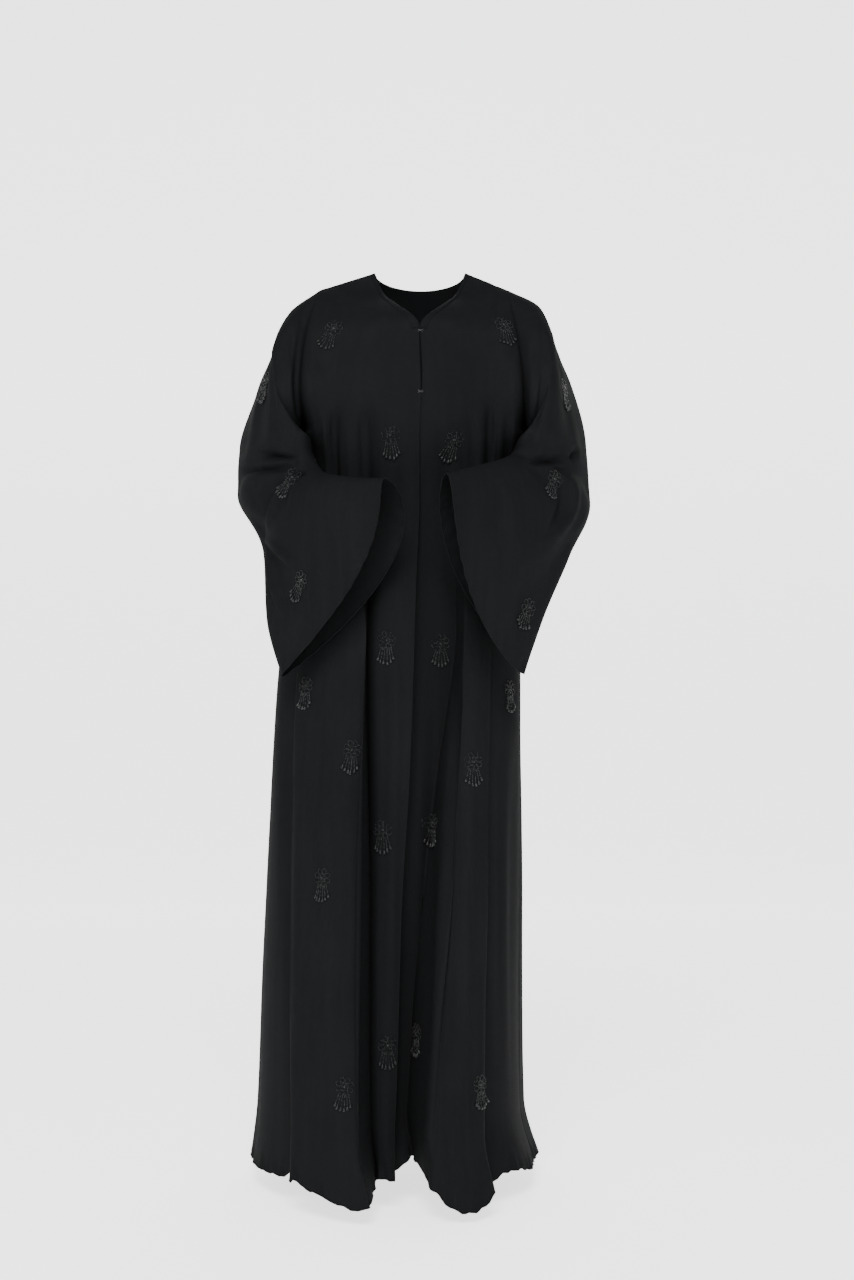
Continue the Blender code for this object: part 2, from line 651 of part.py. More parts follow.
def make_sleeves(cloth):
    """Each sleeve as three tubes, end to end, with a hairline gap between them."""
    made = {}
    starts = list(SLEEVE_PARTS.values())
    ends = starts[1:] + [SLEEVE_ROWS]
    for side in ("left", "right"):
        points, normals = sleeve_grid(side, 2 * ARM_ROWS, SLEEVE_ROWS)
        for part, start, end in zip(SLEEVE_PARTS, starts, ends):
            name = "sleeve_" + side + part
            outer, out = points[start : end + 1].copy(), normals[start : end + 1]
            if start > 0:
                outer[0] += unit(points[start + 1] - points[start - 1]) * TUBE_GAP / 2
            if end < SLEEVE_ROWS:
                outer[-1] -= unit(points[end + 1] - points[end - 1]) * TUBE_GAP / 2
            made[name] = wall(name, outer, outer - out * CLOTH, cloth, closed=True)
    return made


# What is sewn on


def surface_trees(walls):
    """A search tree over each panel or whole sleeve, for finding its surface from outside."""
    shapes = {}
    for name, obj in walls.items():
        whole = "_".join(name.split("_")[:2])
        points, faces = shapes.setdefault(whole, ([], []))
        start = len(points)
        points.extend(vertex.co.copy() for vertex in obj.data.vertices)
        faces.extend([start + corner for corner in face.vertices] for face in obj.data.polygons)
    return {name: BVHTree.FromPolygons(points, faces) for name, (points, faces) in shapes.items()}


def seat(trees, x, z, facing):
    """The first cloth met at x, z from the front or the back: its tree, point and mean normal."""
    start = Vector((x, -FAR * facing, z))
    ray = Vector((0, facing, 0))
    hits = [(tree.ray_cast(start, ray)[0], name) for name, tree in trees.items()]
    hits = [(hit[1] * facing, name, hit) for hit, name in hits if hit is not None]
    name, point = min(hits)[1:]
    around = []
    for dx in (-STEP_OUT, 0, STEP_OUT):
        for dz in (-STEP_OUT, 0, STEP_OUT):
            near = trees[name].ray_cast(start + Vector((dx, 0, dz)), ray)
            if near[0] is not None and (near[0] - point).length < 3 * STEP_OUT:
                around.append(near[1] if near[1].y * facing < 0 else -near[1])
    return trees[name], point, sum(around, Vector()).normalized()


def on_cloth(tree, point, out, lean, outline, thick):
    """The two faces of a flat outline laid on the cloth, clear of it at its highest point."""
    down = (Vector((0, 0, -1)) + out * out.z).normalized()
    across = down.cross(out)
    angle = math.radians(lean)
    side = across * math.cos(angle) + down * math.sin(angle)
    down = down * math.cos(angle) - across * math.sin(angle)
    size = max(max(abs(a), abs(b)) for a, b in outline)
    highest = -size
    for a, b in places_on(outline, size):
        foot = point + side * a + down * b + out * size
        hit = tree.ray_cast(foot, -out, 2 * size)[0]
        if hit is not None:
            highest = max(highest, (hit - point).dot(out))
    base = highest + REST_GAP
    low = [point + side * a + down * b + out * base for a, b in outline]
    return low, [p + out * thick for p in low]


def places_on(outline, size):
    """An even grid of places inside an outline, and its corners. Inside is an odd count of edges."""
    a, b = np.meshgrid(*[np.linspace(-size, size, SEAT_STEPS)] * 2)
    a, b = a.ravel(), b.ravel()
    crossed = np.zeros(a.shape, int)
    for (x, y), (next_x, next_y) in zip(outline, outline[1:] + outline[:1]):
        if y != next_y:
            beside = a < x + (next_x - x) * (b - y) / (next_y - y)
            crossed += ((y > b) != (next_y > b)) & beside
    inside = crossed % 2 == 1
    return np.stack([a[inside], b[inside]], axis=1).tolist() + outline


def solid(name, points, faces, finish):
    """A closed piece from its points and faces, with every face turned outwards."""
    mesh = bpy.data.meshes.new(name)
    mesh.from_pydata(points, [], faces)
    shape = bmesh.new()
    shape.from_mesh(mesh)
    bmesh.ops.recalc_face_normals(shape, faces=shape.faces)
    shape.to_mesh(mesh)
    shape.free()
    return link(name, mesh, finish)


def plate(name, low, high, finish):
    """A closed flat plate between two copies of an outline."""
    count = len(low)
    faces = [tuple(range(count)), tuple(range(2 * count - 1, count - 1, -1))]
    faces += [(i, i + count, (i + 1) % count + count, (i + 1) % count) for i in range(count)]
    return solid(name, low + high, faces, finish)


def flower_outline():
    """A flower over a short bar, with the strands hanging from it. Across, and down."""
    outline = []
    for i in range(2 * PETALS - 3):
        angle = math.radians(135 + i * 180 / PETALS)
        radius = FLOWER_RADIUS if i % 2 else NOTCH_RADIUS
        outline.append((radius * math.cos(angle), radius * math.sin(angle)))
    outline.append((BAR_HALF, BAR_TOP))
    spread = np.linspace(1, -1, STRANDS)
    for share, length in zip(spread, STRAND_LENGTHS):
        root = share * (BAR_HALF - STRAND_ROOT)
        lean = math.radians(STRAND_FAN * share)
        tip = (root + length * math.sin(lean), BAR_LOW + length * math.cos(lean))
        outline.append((root + STRAND_ROOT / 2, BAR_LOW))
        outline.append((tip[0] + STRAND_TIP / 2, tip[1]))
        outline.append((tip[0] - STRAND_TIP / 2, tip[1]))
        outline.append((root - STRAND_ROOT / 2, BAR_LOW))
    outline.append((-BAR_HALF, BAR_TOP))
    return outline


def make_flowers(trees, finish):
    outline = flower_outline()
    rows = [(*row, 1) for row in FRONT_FLOWERS] + [(*row, -1) for row in BACK_FLOWERS]
    for i, (x, z, lean, facing) in enumerate(rows, 1):
        tree, point, out = seat(trees, x, z, facing)
        low, high = on_cloth(tree, point, out, lean, outline, APPLIQUE_THICK)
        plate(f"applique_{i:02d}", low, high, finish)


def make_closures(trees, metal):
    """Two hooks on the left front, each over the round eye on the right front."""
    for name, z in zip(("upper", "lower"), CLOSURE_Z):
        tree, point, out = seat({"left": trees["left"]}, -2 * FRONT_GAP, z, 1)
        right = seat({"right": trees["right"]}, 2 * FRONT_GAP, z, 1)[1]
        across = (right - point).normalized()
        down = across.cross(out).normalized()
        out = down.cross(across).normalized()
        middle = (point + right) / 2
        centre = middle + across * (EYE_OUTER + SEAM_GAP) + out * REST_GAP
        ring = []
        for radius, height in ((EYE_INNER, 0), (EYE_OUTER, 0), (EYE_OUTER, WIRE), (EYE_INNER, WIRE)):
            ring.append([
                centre
                + out * height
                + across * (radius * math.cos(2 * math.pi * k / EYE_SIDES))
                + down * (radius * math.sin(2 * math.pi * k / EYE_SIDES))
                for k in range(EYE_SIDES)
            ])
        ring_mesh("eye_" + name, ring, metal)
        over = REST_GAP + WIRE + SEAM_GAP
        back_end = EYE_OUTER - HOOK_LENGTH
        profile = (
            (back_end, REST_GAP),
            (back_end + HOOK_FOOT, REST_GAP),
            (back_end + HOOK_FOOT, over),
            (EYE_OUTER, over),
            (EYE_OUTER, over + WIRE),
            (back_end, over + WIRE),
        )
        flat = [middle + across * a + out * b for a, b in profile]
        low = [p + down * -HOOK_HALF for p in flat]
        high = [p + down * HOOK_HALF for p in flat]
        plate("hook_" + name, low, high, metal)


def ring_mesh(name, ring, finish):
    """A closed ring from four hoops of points."""
    count = len(ring[0])
    points = [p for hoop in ring for p in hoop]
    faces = []
    for h in range(4):
        for k in range(count):
            a, b = h * count + k, h * count + (k + 1) % count
            d, e = (h + 1) % 4 * count + k, (h + 1) % 4 * count + (k + 1) % count
            faces.append((a, b, e, d))
    return solid(name, points, faces, finish)


def main():
    for old in list(bpy.data.objects):
        bpy.data.objects.remove(old)
    cloth = material("black_crepe", (0.012, 0.013, 0.014), 0.82)
    band = material("black_crepe_band", (0.010, 0.011, 0.012), 0.80)
    beads = material("black_beads", (0.010, 0.010, 0.011), 0.22)
    metal = material("dark_metal", (0.30, 0.30, 0.31), 0.30, 1.0)
    walls = make_body(cloth, band)
    walls.update(make_sleeves(cloth))
    trees = surface_trees(walls)
    make_flowers(trees, beads)
    make_closures(trees, metal)


main()
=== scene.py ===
# %% [markdown]
# # An open abaya cloak in black crepe
#
# The real garment is cut from a soft matte crepe: two fronts, a flared back and two wide bell
# sleeves. The fronts meet at two small hooks and hang open below. Beaded flowers with hanging
# drops are scattered over it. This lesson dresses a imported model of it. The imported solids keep
# their place and size, and each one is covered here by a finer piece of the same form.
#
# Metres, +Z up. The front faces -Y. Left and right are the viewer's.

# %% Load the frame
import math

import bpy
import numpy as np
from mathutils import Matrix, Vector
from mathutils.bvhtree import BVHTree


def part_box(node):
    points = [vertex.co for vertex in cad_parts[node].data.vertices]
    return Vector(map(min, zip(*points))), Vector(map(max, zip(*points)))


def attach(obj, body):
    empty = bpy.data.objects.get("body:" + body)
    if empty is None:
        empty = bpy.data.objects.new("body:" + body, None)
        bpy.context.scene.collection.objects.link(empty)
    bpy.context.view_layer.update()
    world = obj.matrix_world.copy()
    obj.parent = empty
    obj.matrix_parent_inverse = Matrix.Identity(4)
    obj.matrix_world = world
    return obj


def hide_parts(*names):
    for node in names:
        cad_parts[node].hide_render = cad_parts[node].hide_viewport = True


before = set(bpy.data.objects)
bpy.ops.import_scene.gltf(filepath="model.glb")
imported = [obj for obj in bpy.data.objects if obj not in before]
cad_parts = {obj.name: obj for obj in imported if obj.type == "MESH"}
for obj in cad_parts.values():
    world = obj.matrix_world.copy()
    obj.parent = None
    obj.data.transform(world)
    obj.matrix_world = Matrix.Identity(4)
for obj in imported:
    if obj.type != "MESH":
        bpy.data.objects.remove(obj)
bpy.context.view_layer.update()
print("packed nodes:", len(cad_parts))

# %% [markdown]
# ## The camera
#
# The camera stands level in front of the cloak, about three metres away, at the height of the
# hips. A picture is 1280 pixels high, and one pixel covers 1.5 mm at the plane of the body. That
# gives the lens: half the picture's height over the distance is half the sensor over the lens.

# %% Camera
CAMERA_PLACE = (0.0105, -3.1, -0.5475)
PICTURE_HEIGHT = 1280
PIXEL_AT_BODY = 0.0015
SENSOR = 24.0


def make_camera():
    """A level camera whose vertical view covers the picture's height at the body."""
    data = bpy.data.cameras.new("front_view")
    data.sensor_fit = "VERTICAL"
    data.sensor_height = SENSOR
    data.lens = SENSOR * -CAMERA_PLACE[1] / (PICTURE_HEIGHT * PIXEL_AT_BODY)
    camera = bpy.data.objects.new("front_view", data)
    camera.location = CAMERA_PLACE
    camera.rotation_euler = (math.pi / 2, 0, 0)
    bpy.context.scene.collection.objects.link(camera)
    bpy.context.scene.camera = camera
    print("lens", round(data.lens, 2), "mm")


make_camera()

# %% [markdown]
# ## Curves through a few rows
#
# A pattern cutter writes down a few sizes and draws a fair curve through them. `smooth` does the
# same with a monotone cubic: between two rows it never rises above or falls below them, so a
# fold's ridge stays where its row puts it. `ease` is the soft step used for every fade.

# %% Curves


def smooth(x, y, at):
    """A curve through the rows of y at the places x, with no overshoot (a monotone cubic)."""
    x, y, at = np.asarray(x, float), np.asarray(y, float), np.asarray(at, float)
    step = np.diff(x).reshape((-1,) + (1,) * (y.ndim - 1))
    rise = np.diff(y, axis=0) / step
    slope = np.zeros_like(y)
    slope[0], slope[-1] = rise[0], rise[-1]
    before, after = rise[:-1], rise[1:]
    same = before * after > 0
    total = np.where(same, before + after, 1.0)
    slope[1:-1] = np.where(same, 2 * before * after / total, 0.0)
    i = np.clip(np.searchsorted(x, at, side="right") - 1, 0, len(x) - 2)
    t = ((at - x[i]) / (x[i + 1] - x[i])).reshape(at.shape + (1,) * (y.ndim - 1))
    h = step[i]
    return (
        (1 + 2 * t) * (1 - t) ** 2 * y[i]
        + t * (1 - t) ** 2 * h * slope[i]
        + t * t * (3 - 2 * t) * y[i + 1]
        + t * t * (t - 1) * h * slope[i + 1]
    )


def ease(t):
    """0 below 0, 1 above 1, and level at both ends."""
    t = np.clip(t, 0.0, 1.0)
    return t * t * (3 - 2 * t)


def by_height(table, column, z):
    """A column of a table whose first column is the height, listed from the top down."""
    return smooth(table[::-1, 0], table[::-1, column], z)


def unit(v):
    """Vectors over their lengths."""
    return v / np.linalg.norm(v, axis=-1, keepdims=True)


def grid_normals(points, closed=False):
    """Unit normals of a grid of points: the cross product of its two directions."""
    if closed:
        across = np.roll(points, -1, axis=1) - np.roll(points, 1, axis=1)
    else:
        across = np.gradient(points, axis=1)
    return unit(np.cross(across, np.gradient(points, axis=0)))


# %% [markdown]
# ## The cut of the body
#
# The body is one surface with two parameters. Up it runs a station, from the hem over the
# underarm to the shoulder seam. Round it runs a turn, from one table row of a fold to the next.
# These are the sizes of the imported solids, so the fine cloth has their form. The tables could be
# replaced by a simulated drape, but folds that are placed one by one land where the real ones are.

# %% Sizes of the body
HEM_Z = -1.335
UNDERARM_Z = -0.240
WAIST_Z = -0.550
KNEE_Z = -0.850
FRONT_GAP = 0.0016
NECK_HALF = 0.068
NECK_SIDE = (0.020, 0.006)
BACK_NECK = (0.064, -0.014)
CENTRE_X = -0.008
HEM_FOLLOWS_FOLD = 0.12
KNEE_TOWARDS_HEM = 0.4
SHOULDER_TURN = 0.25

# height, left side x, right side x, side seam y, front y, back y, front squareness, back squareness
BODY_SECTIONS = np.array([
    (-0.190, -0.170, 0.154, 0.020, -0.122, 0.113, 0.85, 0.90),
    (-0.240, -0.170, 0.154, 0.020, -0.122, 0.112, 0.85, 0.90),
    (-0.320, -0.169, 0.146, 0.022, -0.114, 0.102, 0.85, 0.90),
    (-0.420, -0.180, 0.143, 0.026, -0.121, 0.118, 0.82, 0.90),
    (-0.550, -0.209, 0.151, 0.028, -0.131, 0.150, 0.80, 0.88),
    (-0.700, -0.221, 0.152, 0.030, -0.156, 0.172, 0.77, 0.86),
    (-0.900, -0.231, 0.153, 0.030, -0.176, 0.190, 0.74, 0.84),
    (-1.100, -0.239, 0.151, 0.030, -0.192, 0.204, 0.71, 0.82),
    (-1.250, -0.243, 0.152, 0.030, -0.201, 0.213, 0.70, 0.80),
    (-1.335, -0.252, 0.172, 0.030, -0.205, 0.218, 0.70, 0.80),
])

# height, x of the line where the fronts meet, how far the right front passes under the left one
FRONT_EDGE = np.array([
    (-0.093, 0.000, 0.000),
    (-0.350, 0.000, 0.000),
    (-0.450, -0.004, 0.006),
    (-0.600, -0.008, 0.020),
    (-0.750, -0.010, 0.026),
    (-0.950, -0.020, 0.028),
    (-1.150, -0.024, 0.028),
    (-1.335, -0.033, 0.028),
])

# Folds, each a ridge or a trough: degrees from the middle of the front at the waist and at the
# hem, and how far the cloth stands out at the waist, the knee and the hem
FOLDS = {
    "right": np.array([
        (3, -6, -0.030, -0.055, -0.080),
        (16, 8, -0.036, -0.072, -0.098),
        (33, 18, -0.034, -0.078, -0.108),
        (31, 15.5, 0.000, -0.004, -0.004),
        (39, 28, 0.006, 0.010, 0.018),
        (46, 42, 0.005, 0.005, 0.006),
        (46, 41, -0.004, -0.020, -0.044),
        (62, 58, -0.003, -0.010, -0.026),
        (76, 75, 0.000, -0.003, -0.010),
        (90, 90, 0.000, 0.000, 0.000),
    ]),
    "back": np.array([
        (90, 90, 0.000, 0.000, 0.000),
        (111, 109, 0.002, 0.010, 0.018),
        (127, 126, -0.004, -0.016, -0.030),
        (149, 150, 0.003, 0.012, 0.020),
        (165, 163, -0.004, -0.014, -0.026),
        (182, 184, 0.003, 0.014, 0.024),
        (200, 201, -0.004, -0.018, -0.032),
        (221, 224, 0.003, 0.010, 0.018),
        (238, 241, -0.003, -0.014, -0.026),
        (254, 257, 0.002, 0.006, 0.012),
        (270, 270, 0.000, 0.000, 0.000),
    ]),
    "left": np.array([
        (-90, -90, 0.000, 0.000, 0.000),
        (-74, -70, -0.002, -0.012, -0.030),
        (-53, -44, -0.007, -0.026, -0.046),
        (-54, -45, 0.002, 0.000, -0.006),
        (-36, -31, 0.004, 0.004, 0.004),
        (-15, -9.8, 0.007, 0.010, 0.018),
        (-17, -12.5, -0.020, -0.056, -0.076),
        (-10, -6, -0.003, -0.042, -0.064),
        (-1, -2, 0.000, -0.040, -0.062),
        (8, 2, -0.003, -0.046, -0.070),
    ]),
}

# Above the underarm: share of the way up, neck edge x and z, front y, back y, back z
LEFT_UPPER = np.array([
    (0.00, 0.000, -0.240, -0.122, 0.112, -0.240),
    (0.25, 0.000, -0.167, -0.121, 0.113, -0.185),
    (0.50, 0.000, -0.093, -0.099, 0.104, -0.130),
    (0.70, -0.031, -0.054, -0.080, 0.094, -0.084),
    (0.85, -0.053, -0.029, -0.056, 0.082, -0.048),
    (1.00, -0.068, 0.006, 0.020, 0.064, -0.014),
])
UPPER = {"left": LEFT_UPPER, "right": LEFT_UPPER * (1, -1, 1, 1, 1, 1)}

# The armholes: shoulder tip x, middle x, underarm x
ARMHOLE_X = {"left": (-0.149, -0.173, -0.170), "right": (0.130, 0.148, 0.154)}
ARMHOLE_TIP_Z = -0.020
ARMHOLE_Y = 0.014
ARMHOLE_FRONT = 0.066
ARMHOLE_BACK = 0.074
ARMHOLE_LEAN = 0.35
PANEL_TURN = 60.0
PANEL_TURN_FROM = 0.35
FRONT_SEAM_FROM = 0.55
BACK_SEAM_FROM = 0.60

# %% [markdown]
# ### Below the underarm
#
# At each height the body is a squared ellipse. A fold row pulls it in or lets it out along the
# ellipse's normal, and `smooth` rounds the cloth from row to row. The right front passes under
# the left one below the waist, as it does when the cloak hangs open a little.

# %% The skirt


def edge_x(side, z):
    """x of a front's free edge: the left one on the line, the right one just past it or under it."""
    line, under = by_height(FRONT_EDGE, 1, z), by_height(FRONT_EDGE, 2, z)
    if side == "left":
        return line - FRONT_GAP / 2
    return line + FRONT_GAP / 2 - under


def fold_stations(folds, z):
    """Degrees and stand-out of every fold at the heights z, which fade to an even spread upwards."""
    even = np.linspace(folds[0, 0], folds[-1, 0], len(folds))
    heights = np.array([HEM_Z, KNEE_Z, WAIST_Z, UNDERARM_Z])
    knee = folds[:, 0] + (folds[:, 1] - folds[:, 0]) * KNEE_TOWARDS_HEM
    degrees = np.stack([folds[:, 1], knee, folds[:, 0], even])
    out = np.stack([folds[:, 4], folds[:, 3], folds[:, 2], np.zeros(len(folds))])
    return smooth(heights, degrees, z).T, smooth(heights, out, z).T


def skirt(panel, turn, z):
    """Points below the underarm: a squared ellipse at each height, moved out or in by the folds."""
    folds = FOLDS[panel]
    left, right, side_y, front_y, back_y, front_e, back_e = (
        by_height(BODY_SECTIONS, c, z) for c in range(1, 8)
    )
    centre, half = (left + right) / 2, (right - left) / 2
    degrees, out = fold_stations(folds, z)
    if panel != "back":
        own = np.degrees(np.arcsin((edge_x(panel, z) - centre) / half))
        edge, side = (-1, 0) if panel == "left" else (0, -1)
        spread = np.linspace(own, degrees[side], len(folds))
        if panel == "left":
            spread = spread[::-1]
        high = ease((z - WAIST_Z) / (UNDERARM_Z - WAIST_Z))
        degrees = degrees * (1 - high) + spread * high
        degrees[edge] = own
    knots = np.linspace(0, 1, len(folds))
    angle = np.radians(smooth(knots, degrees, turn)).T
    out = smooth(knots, out, turn).T
    sin, cos = np.sin(angle), np.cos(angle)
    centre, half, side_y = centre[:, None], half[:, None], side_y[:, None]
    if panel == "back":
        deep = back_y[:, None] - side_y
        y = side_y + deep * np.abs(cos) ** back_e[:, None]
    else:
        deep = side_y - front_y[:, None]
        y = side_y - deep * np.abs(cos) ** front_e[:, None]
    normal = unit(np.stack([sin * deep, -cos * half], axis=-1))
    down = (UNDERARM_Z - z[:, None]) / (UNDERARM_Z - HEM_Z)
    return np.stack([
        centre + half * sin + out * normal[..., 0],
        y + out * normal[..., 1],
        z[:, None] - HEM_FOLLOWS_FOLD * out * down**2,
    ], axis=-1)


# %% [markdown]
# ### Above the underarm
#
# The armhole is a deep tilted oval. Each row of a front or of the back runs from its middle line
# or neck edge to a point of that oval. Low rows keep the body's own section up to the place where
# the armhole cuts it, and high rows turn into the straight shoulder seam.

# %% The upper body


def armhole(side, share, facing):
    """Points of the armhole from the underarm (0) to the shoulder tip (1), its front or back half."""
    tip, middle, under = ARMHOLE_X[side]
    angle = np.radians(180 * np.asarray(share, float) - 90)
    sin, cos = np.sin(angle), np.cos(angle)
    deep = -ARMHOLE_FRONT if facing == "front" else ARMHOLE_BACK
    x = middle + (tip - under) / 2 * sin + (tip + under - 2 * middle) / 2 * sin**2
    side_y = BODY_SECTIONS[1, 3]
    y = side_y + (ARMHOLE_Y - side_y) * share + deep * cos
    return np.stack([x, y, UNDERARM_Z + (ARMHOLE_TIP_Z - UNDERARM_Z) / 2 * (1 + sin)], axis=-1)


def armhole_normals(side, share, facing):
    """One shared direction across the armhole seam: out to the side, leaning forward or back, and up."""
    angle = np.radians(180 * share - 90)
    deep = -1 if facing == "front" else 1
    outward = -1.0 if side == "left" else 1.0
    lean = ARMHOLE_LEAN + (1 - ARMHOLE_LEAN) * (1 - np.sin(angle)) / 2
    return unit(np.stack([outward * lean, deep * np.cos(angle), np.sin(angle)], axis=-1))


def panel_turn(share):
    """Degrees at which a row meets the armhole: a full quarter at the underarm, less above it."""
    return 90 - (90 - PANEL_TURN) * ease(np.asarray(share) / PANEL_TURN_FROM)


def upper_front(side, turn, share):
    """Points of a front above the underarm, turn 0 at its free or neck edge."""
    edge_at, edge_z, front_y = (
        smooth(UPPER[side][:, 0], UPPER[side][:, c], share)[:, None] for c in (1, 2, 3)
    )
    edge_at = edge_at + math.copysign(FRONT_GAP / 2, ARMHOLE_X[side][0])
    end_x, end_y, end_z = (armhole(side, share, "front")[:, None, i] for i in range(3))
    limit = np.radians(panel_turn(share))[:, None]
    half = (end_x - CENTRE_X) / np.sin(limit)
    start = np.arcsin((edge_at - CENTRE_X) / half)
    angle = start + (limit - start) * turn[None, :]
    x = CENTRE_X + half * np.sin(angle)
    square = BODY_SECTIONS[1, 6]
    curve = ((np.cos(angle) - np.cos(limit)) / (1 - np.cos(limit))).clip(0, None) ** square
    y = end_y + (front_y - end_y) * curve
    across = (x - edge_at) / (end_x - edge_at)
    seam_y = NECK_SIDE[0] + (end_y - NECK_SIDE[0]) * across
    near_seam = ease((share - FRONT_SEAM_FROM) / (1 - FRONT_SEAM_FROM))[:, None]
    return np.stack([
        x,
        y * (1 - near_seam) + seam_y * near_seam,
        edge_z + (end_z - edge_z) * across,
    ], axis=-1)


def back_top(turn, share):
    """The back's upper edge: out along a shoulder seam, round the back neck, out along the other."""
    right, left = (armhole(side, share, "back")[:, None, :] for side in ("right", "left"))
    share_right = np.clip(turn / SHOULDER_TURN, 0, 1)[:, None]
    share_left = np.clip((1 - turn) / SHOULDER_TURN, 0, 1)[:, None]
    across = np.cos(np.pi * np.clip((turn - SHOULDER_TURN) / (1 - 2 * SHOULDER_TURN), 0, 1))
    round_off = np.sqrt(np.clip(1 - across**2, 0, 1))
    neck = np.stack([
        NECK_HALF * across,
        NECK_SIDE[0] + (BACK_NECK[0] - NECK_SIDE[0]) * round_off,
        NECK_SIDE[1] + (BACK_NECK[1] - NECK_SIDE[1]) * round_off,
    ], axis=-1)
    on_right = right + (np.array([NECK_HALF, *NECK_SIDE]) - right) * share_right
    on_left = left + (np.array([-NECK_HALF, *NECK_SIDE]) - left) * share_left
    first, last = (turn < SHOULDER_TURN)[:, None], (turn > 1 - SHOULDER_TURN)[:, None]
    return np.where(first, on_right, np.where(last, on_left, neck))


def upper_back(turn, share):
    """Points of the back above the underarm, turn 0 at the right armhole and 1 at the left."""
    back_y, back_z = (smooth(LEFT_UPPER[:, 0], LEFT_UPPER[:, c], share)[:, None] for c in (4, 5))
    right, left = armhole("right", share, "back"), armhole("left", share, "back")
    limit = np.radians(panel_turn(share))[:, None]
    angle = limit * (1 - 2 * turn[None, :])
    end_x = np.where(angle > 0, right[:, None, 0], left[:, None, 0])
    end_y, end_z = right[:, None, 1], right[:, None, 2]
    square = BODY_SECTIONS[1, 7]
    curve = ((np.cos(angle) - np.cos(limit)) / (1 - np.cos(limit))).clip(0, None)
    points = np.stack([
        CENTRE_X + (end_x - CENTRE_X) * np.abs(np.sin(angle)) / np.sin(limit),
        end_y + (back_y - end_y) * curve**square,
        end_z + (back_z - end_z) * curve,
    ], axis=-1)
    near_top = ease((share - BACK_SEAM_FROM) / (1 - BACK_SEAM_FROM))[:, None, None]
    return points * (1 - near_top) + back_top(turn, share) * near_top


# %% [markdown]
# ## Folds placed one by one
#
# Crepe falls in soft, uneven troughs and ridges. Each one is drawn here as a stroke: a curve
# through three places of the front view, with its own width on either hand, and a height that
# swells from nothing at both ends. A trough has a negative height. A stroke that is narrow on one
# hand and wide on the other reads as a fold that lies over. A sculpted or simulated cloth could do
# this as well, but strokes can be set one by one against the real garment.

# %% Strokes
STROKE_STEPS = 33
STROKE_REACH = 3
SWELL_POWER = 0.7

# Start x, z, middle x, z, end x, z, half width on the left hand and on the right hand of someone
# who follows the stroke, height
CHEST_STROKES = (
    (-0.160, -0.216, -0.159, -0.290, -0.156, -0.400, 0.005, 0.006, -0.0030),
    (-0.146, -0.222, -0.144, -0.280, -0.142, -0.380, 0.003, 0.004, -0.0018),
    (-0.134, -0.220, -0.133, -0.270, -0.131, -0.360, 0.003, 0.004, -0.0020),
    (-0.127, -0.212, -0.124, -0.290, -0.121, -0.420, 0.004, 0.006, -0.0045),
    (-0.112, -0.235, -0.110, -0.290, -0.108, -0.370, 0.004, 0.004, -0.0012),
    (-0.085, -0.218, -0.080, -0.290, -0.074, -0.420, 0.010, 0.006, -0.0035),
    (-0.062, -0.235, -0.060, -0.300, -0.058, -0.380, 0.006, 0.006, -0.0010),
    (0.060, -0.222, 0.062, -0.280, 0.064, -0.380, 0.005, 0.005, -0.0016),
    (0.078, -0.220, 0.081, -0.280, 0.085, -0.380, 0.005, 0.005, -0.0018),
    (0.104, -0.208, 0.102, -0.280, 0.100, -0.420, 0.004, 0.006, -0.0034),
    (0.115, -0.214, 0.113, -0.280, 0.110, -0.380, 0.004, 0.004, -0.0026),
    (0.130, -0.214, 0.131, -0.280, 0.131, -0.400, 0.004, 0.006, -0.0034),
    (0.110, -0.010, 0.114, -0.035, 0.112, -0.075, 0.004, 0.007, -0.0022),
    (0.099, -0.008, 0.101, -0.030, 0.100, -0.055, 0.005, 0.005, 0.0010),
    (-0.118, -0.020, -0.124, -0.050, -0.130, -0.090, 0.006, 0.004, -0.0012),
    (-0.150, -0.165, -0.120, -0.178, -0.088, -0.176, 0.014, 0.010, 0.0016),
    (0.140, -0.172, 0.112, -0.182, 0.082, -0.178, 0.012, 0.010, 0.0016),
    (-0.158, -0.120, -0.140, -0.150, -0.118, -0.165, 0.010, 0.007, -0.0012),
    (0.140, -0.118, 0.128, -0.146, 0.108, -0.164, 0.007, 0.010, -0.0012),
)
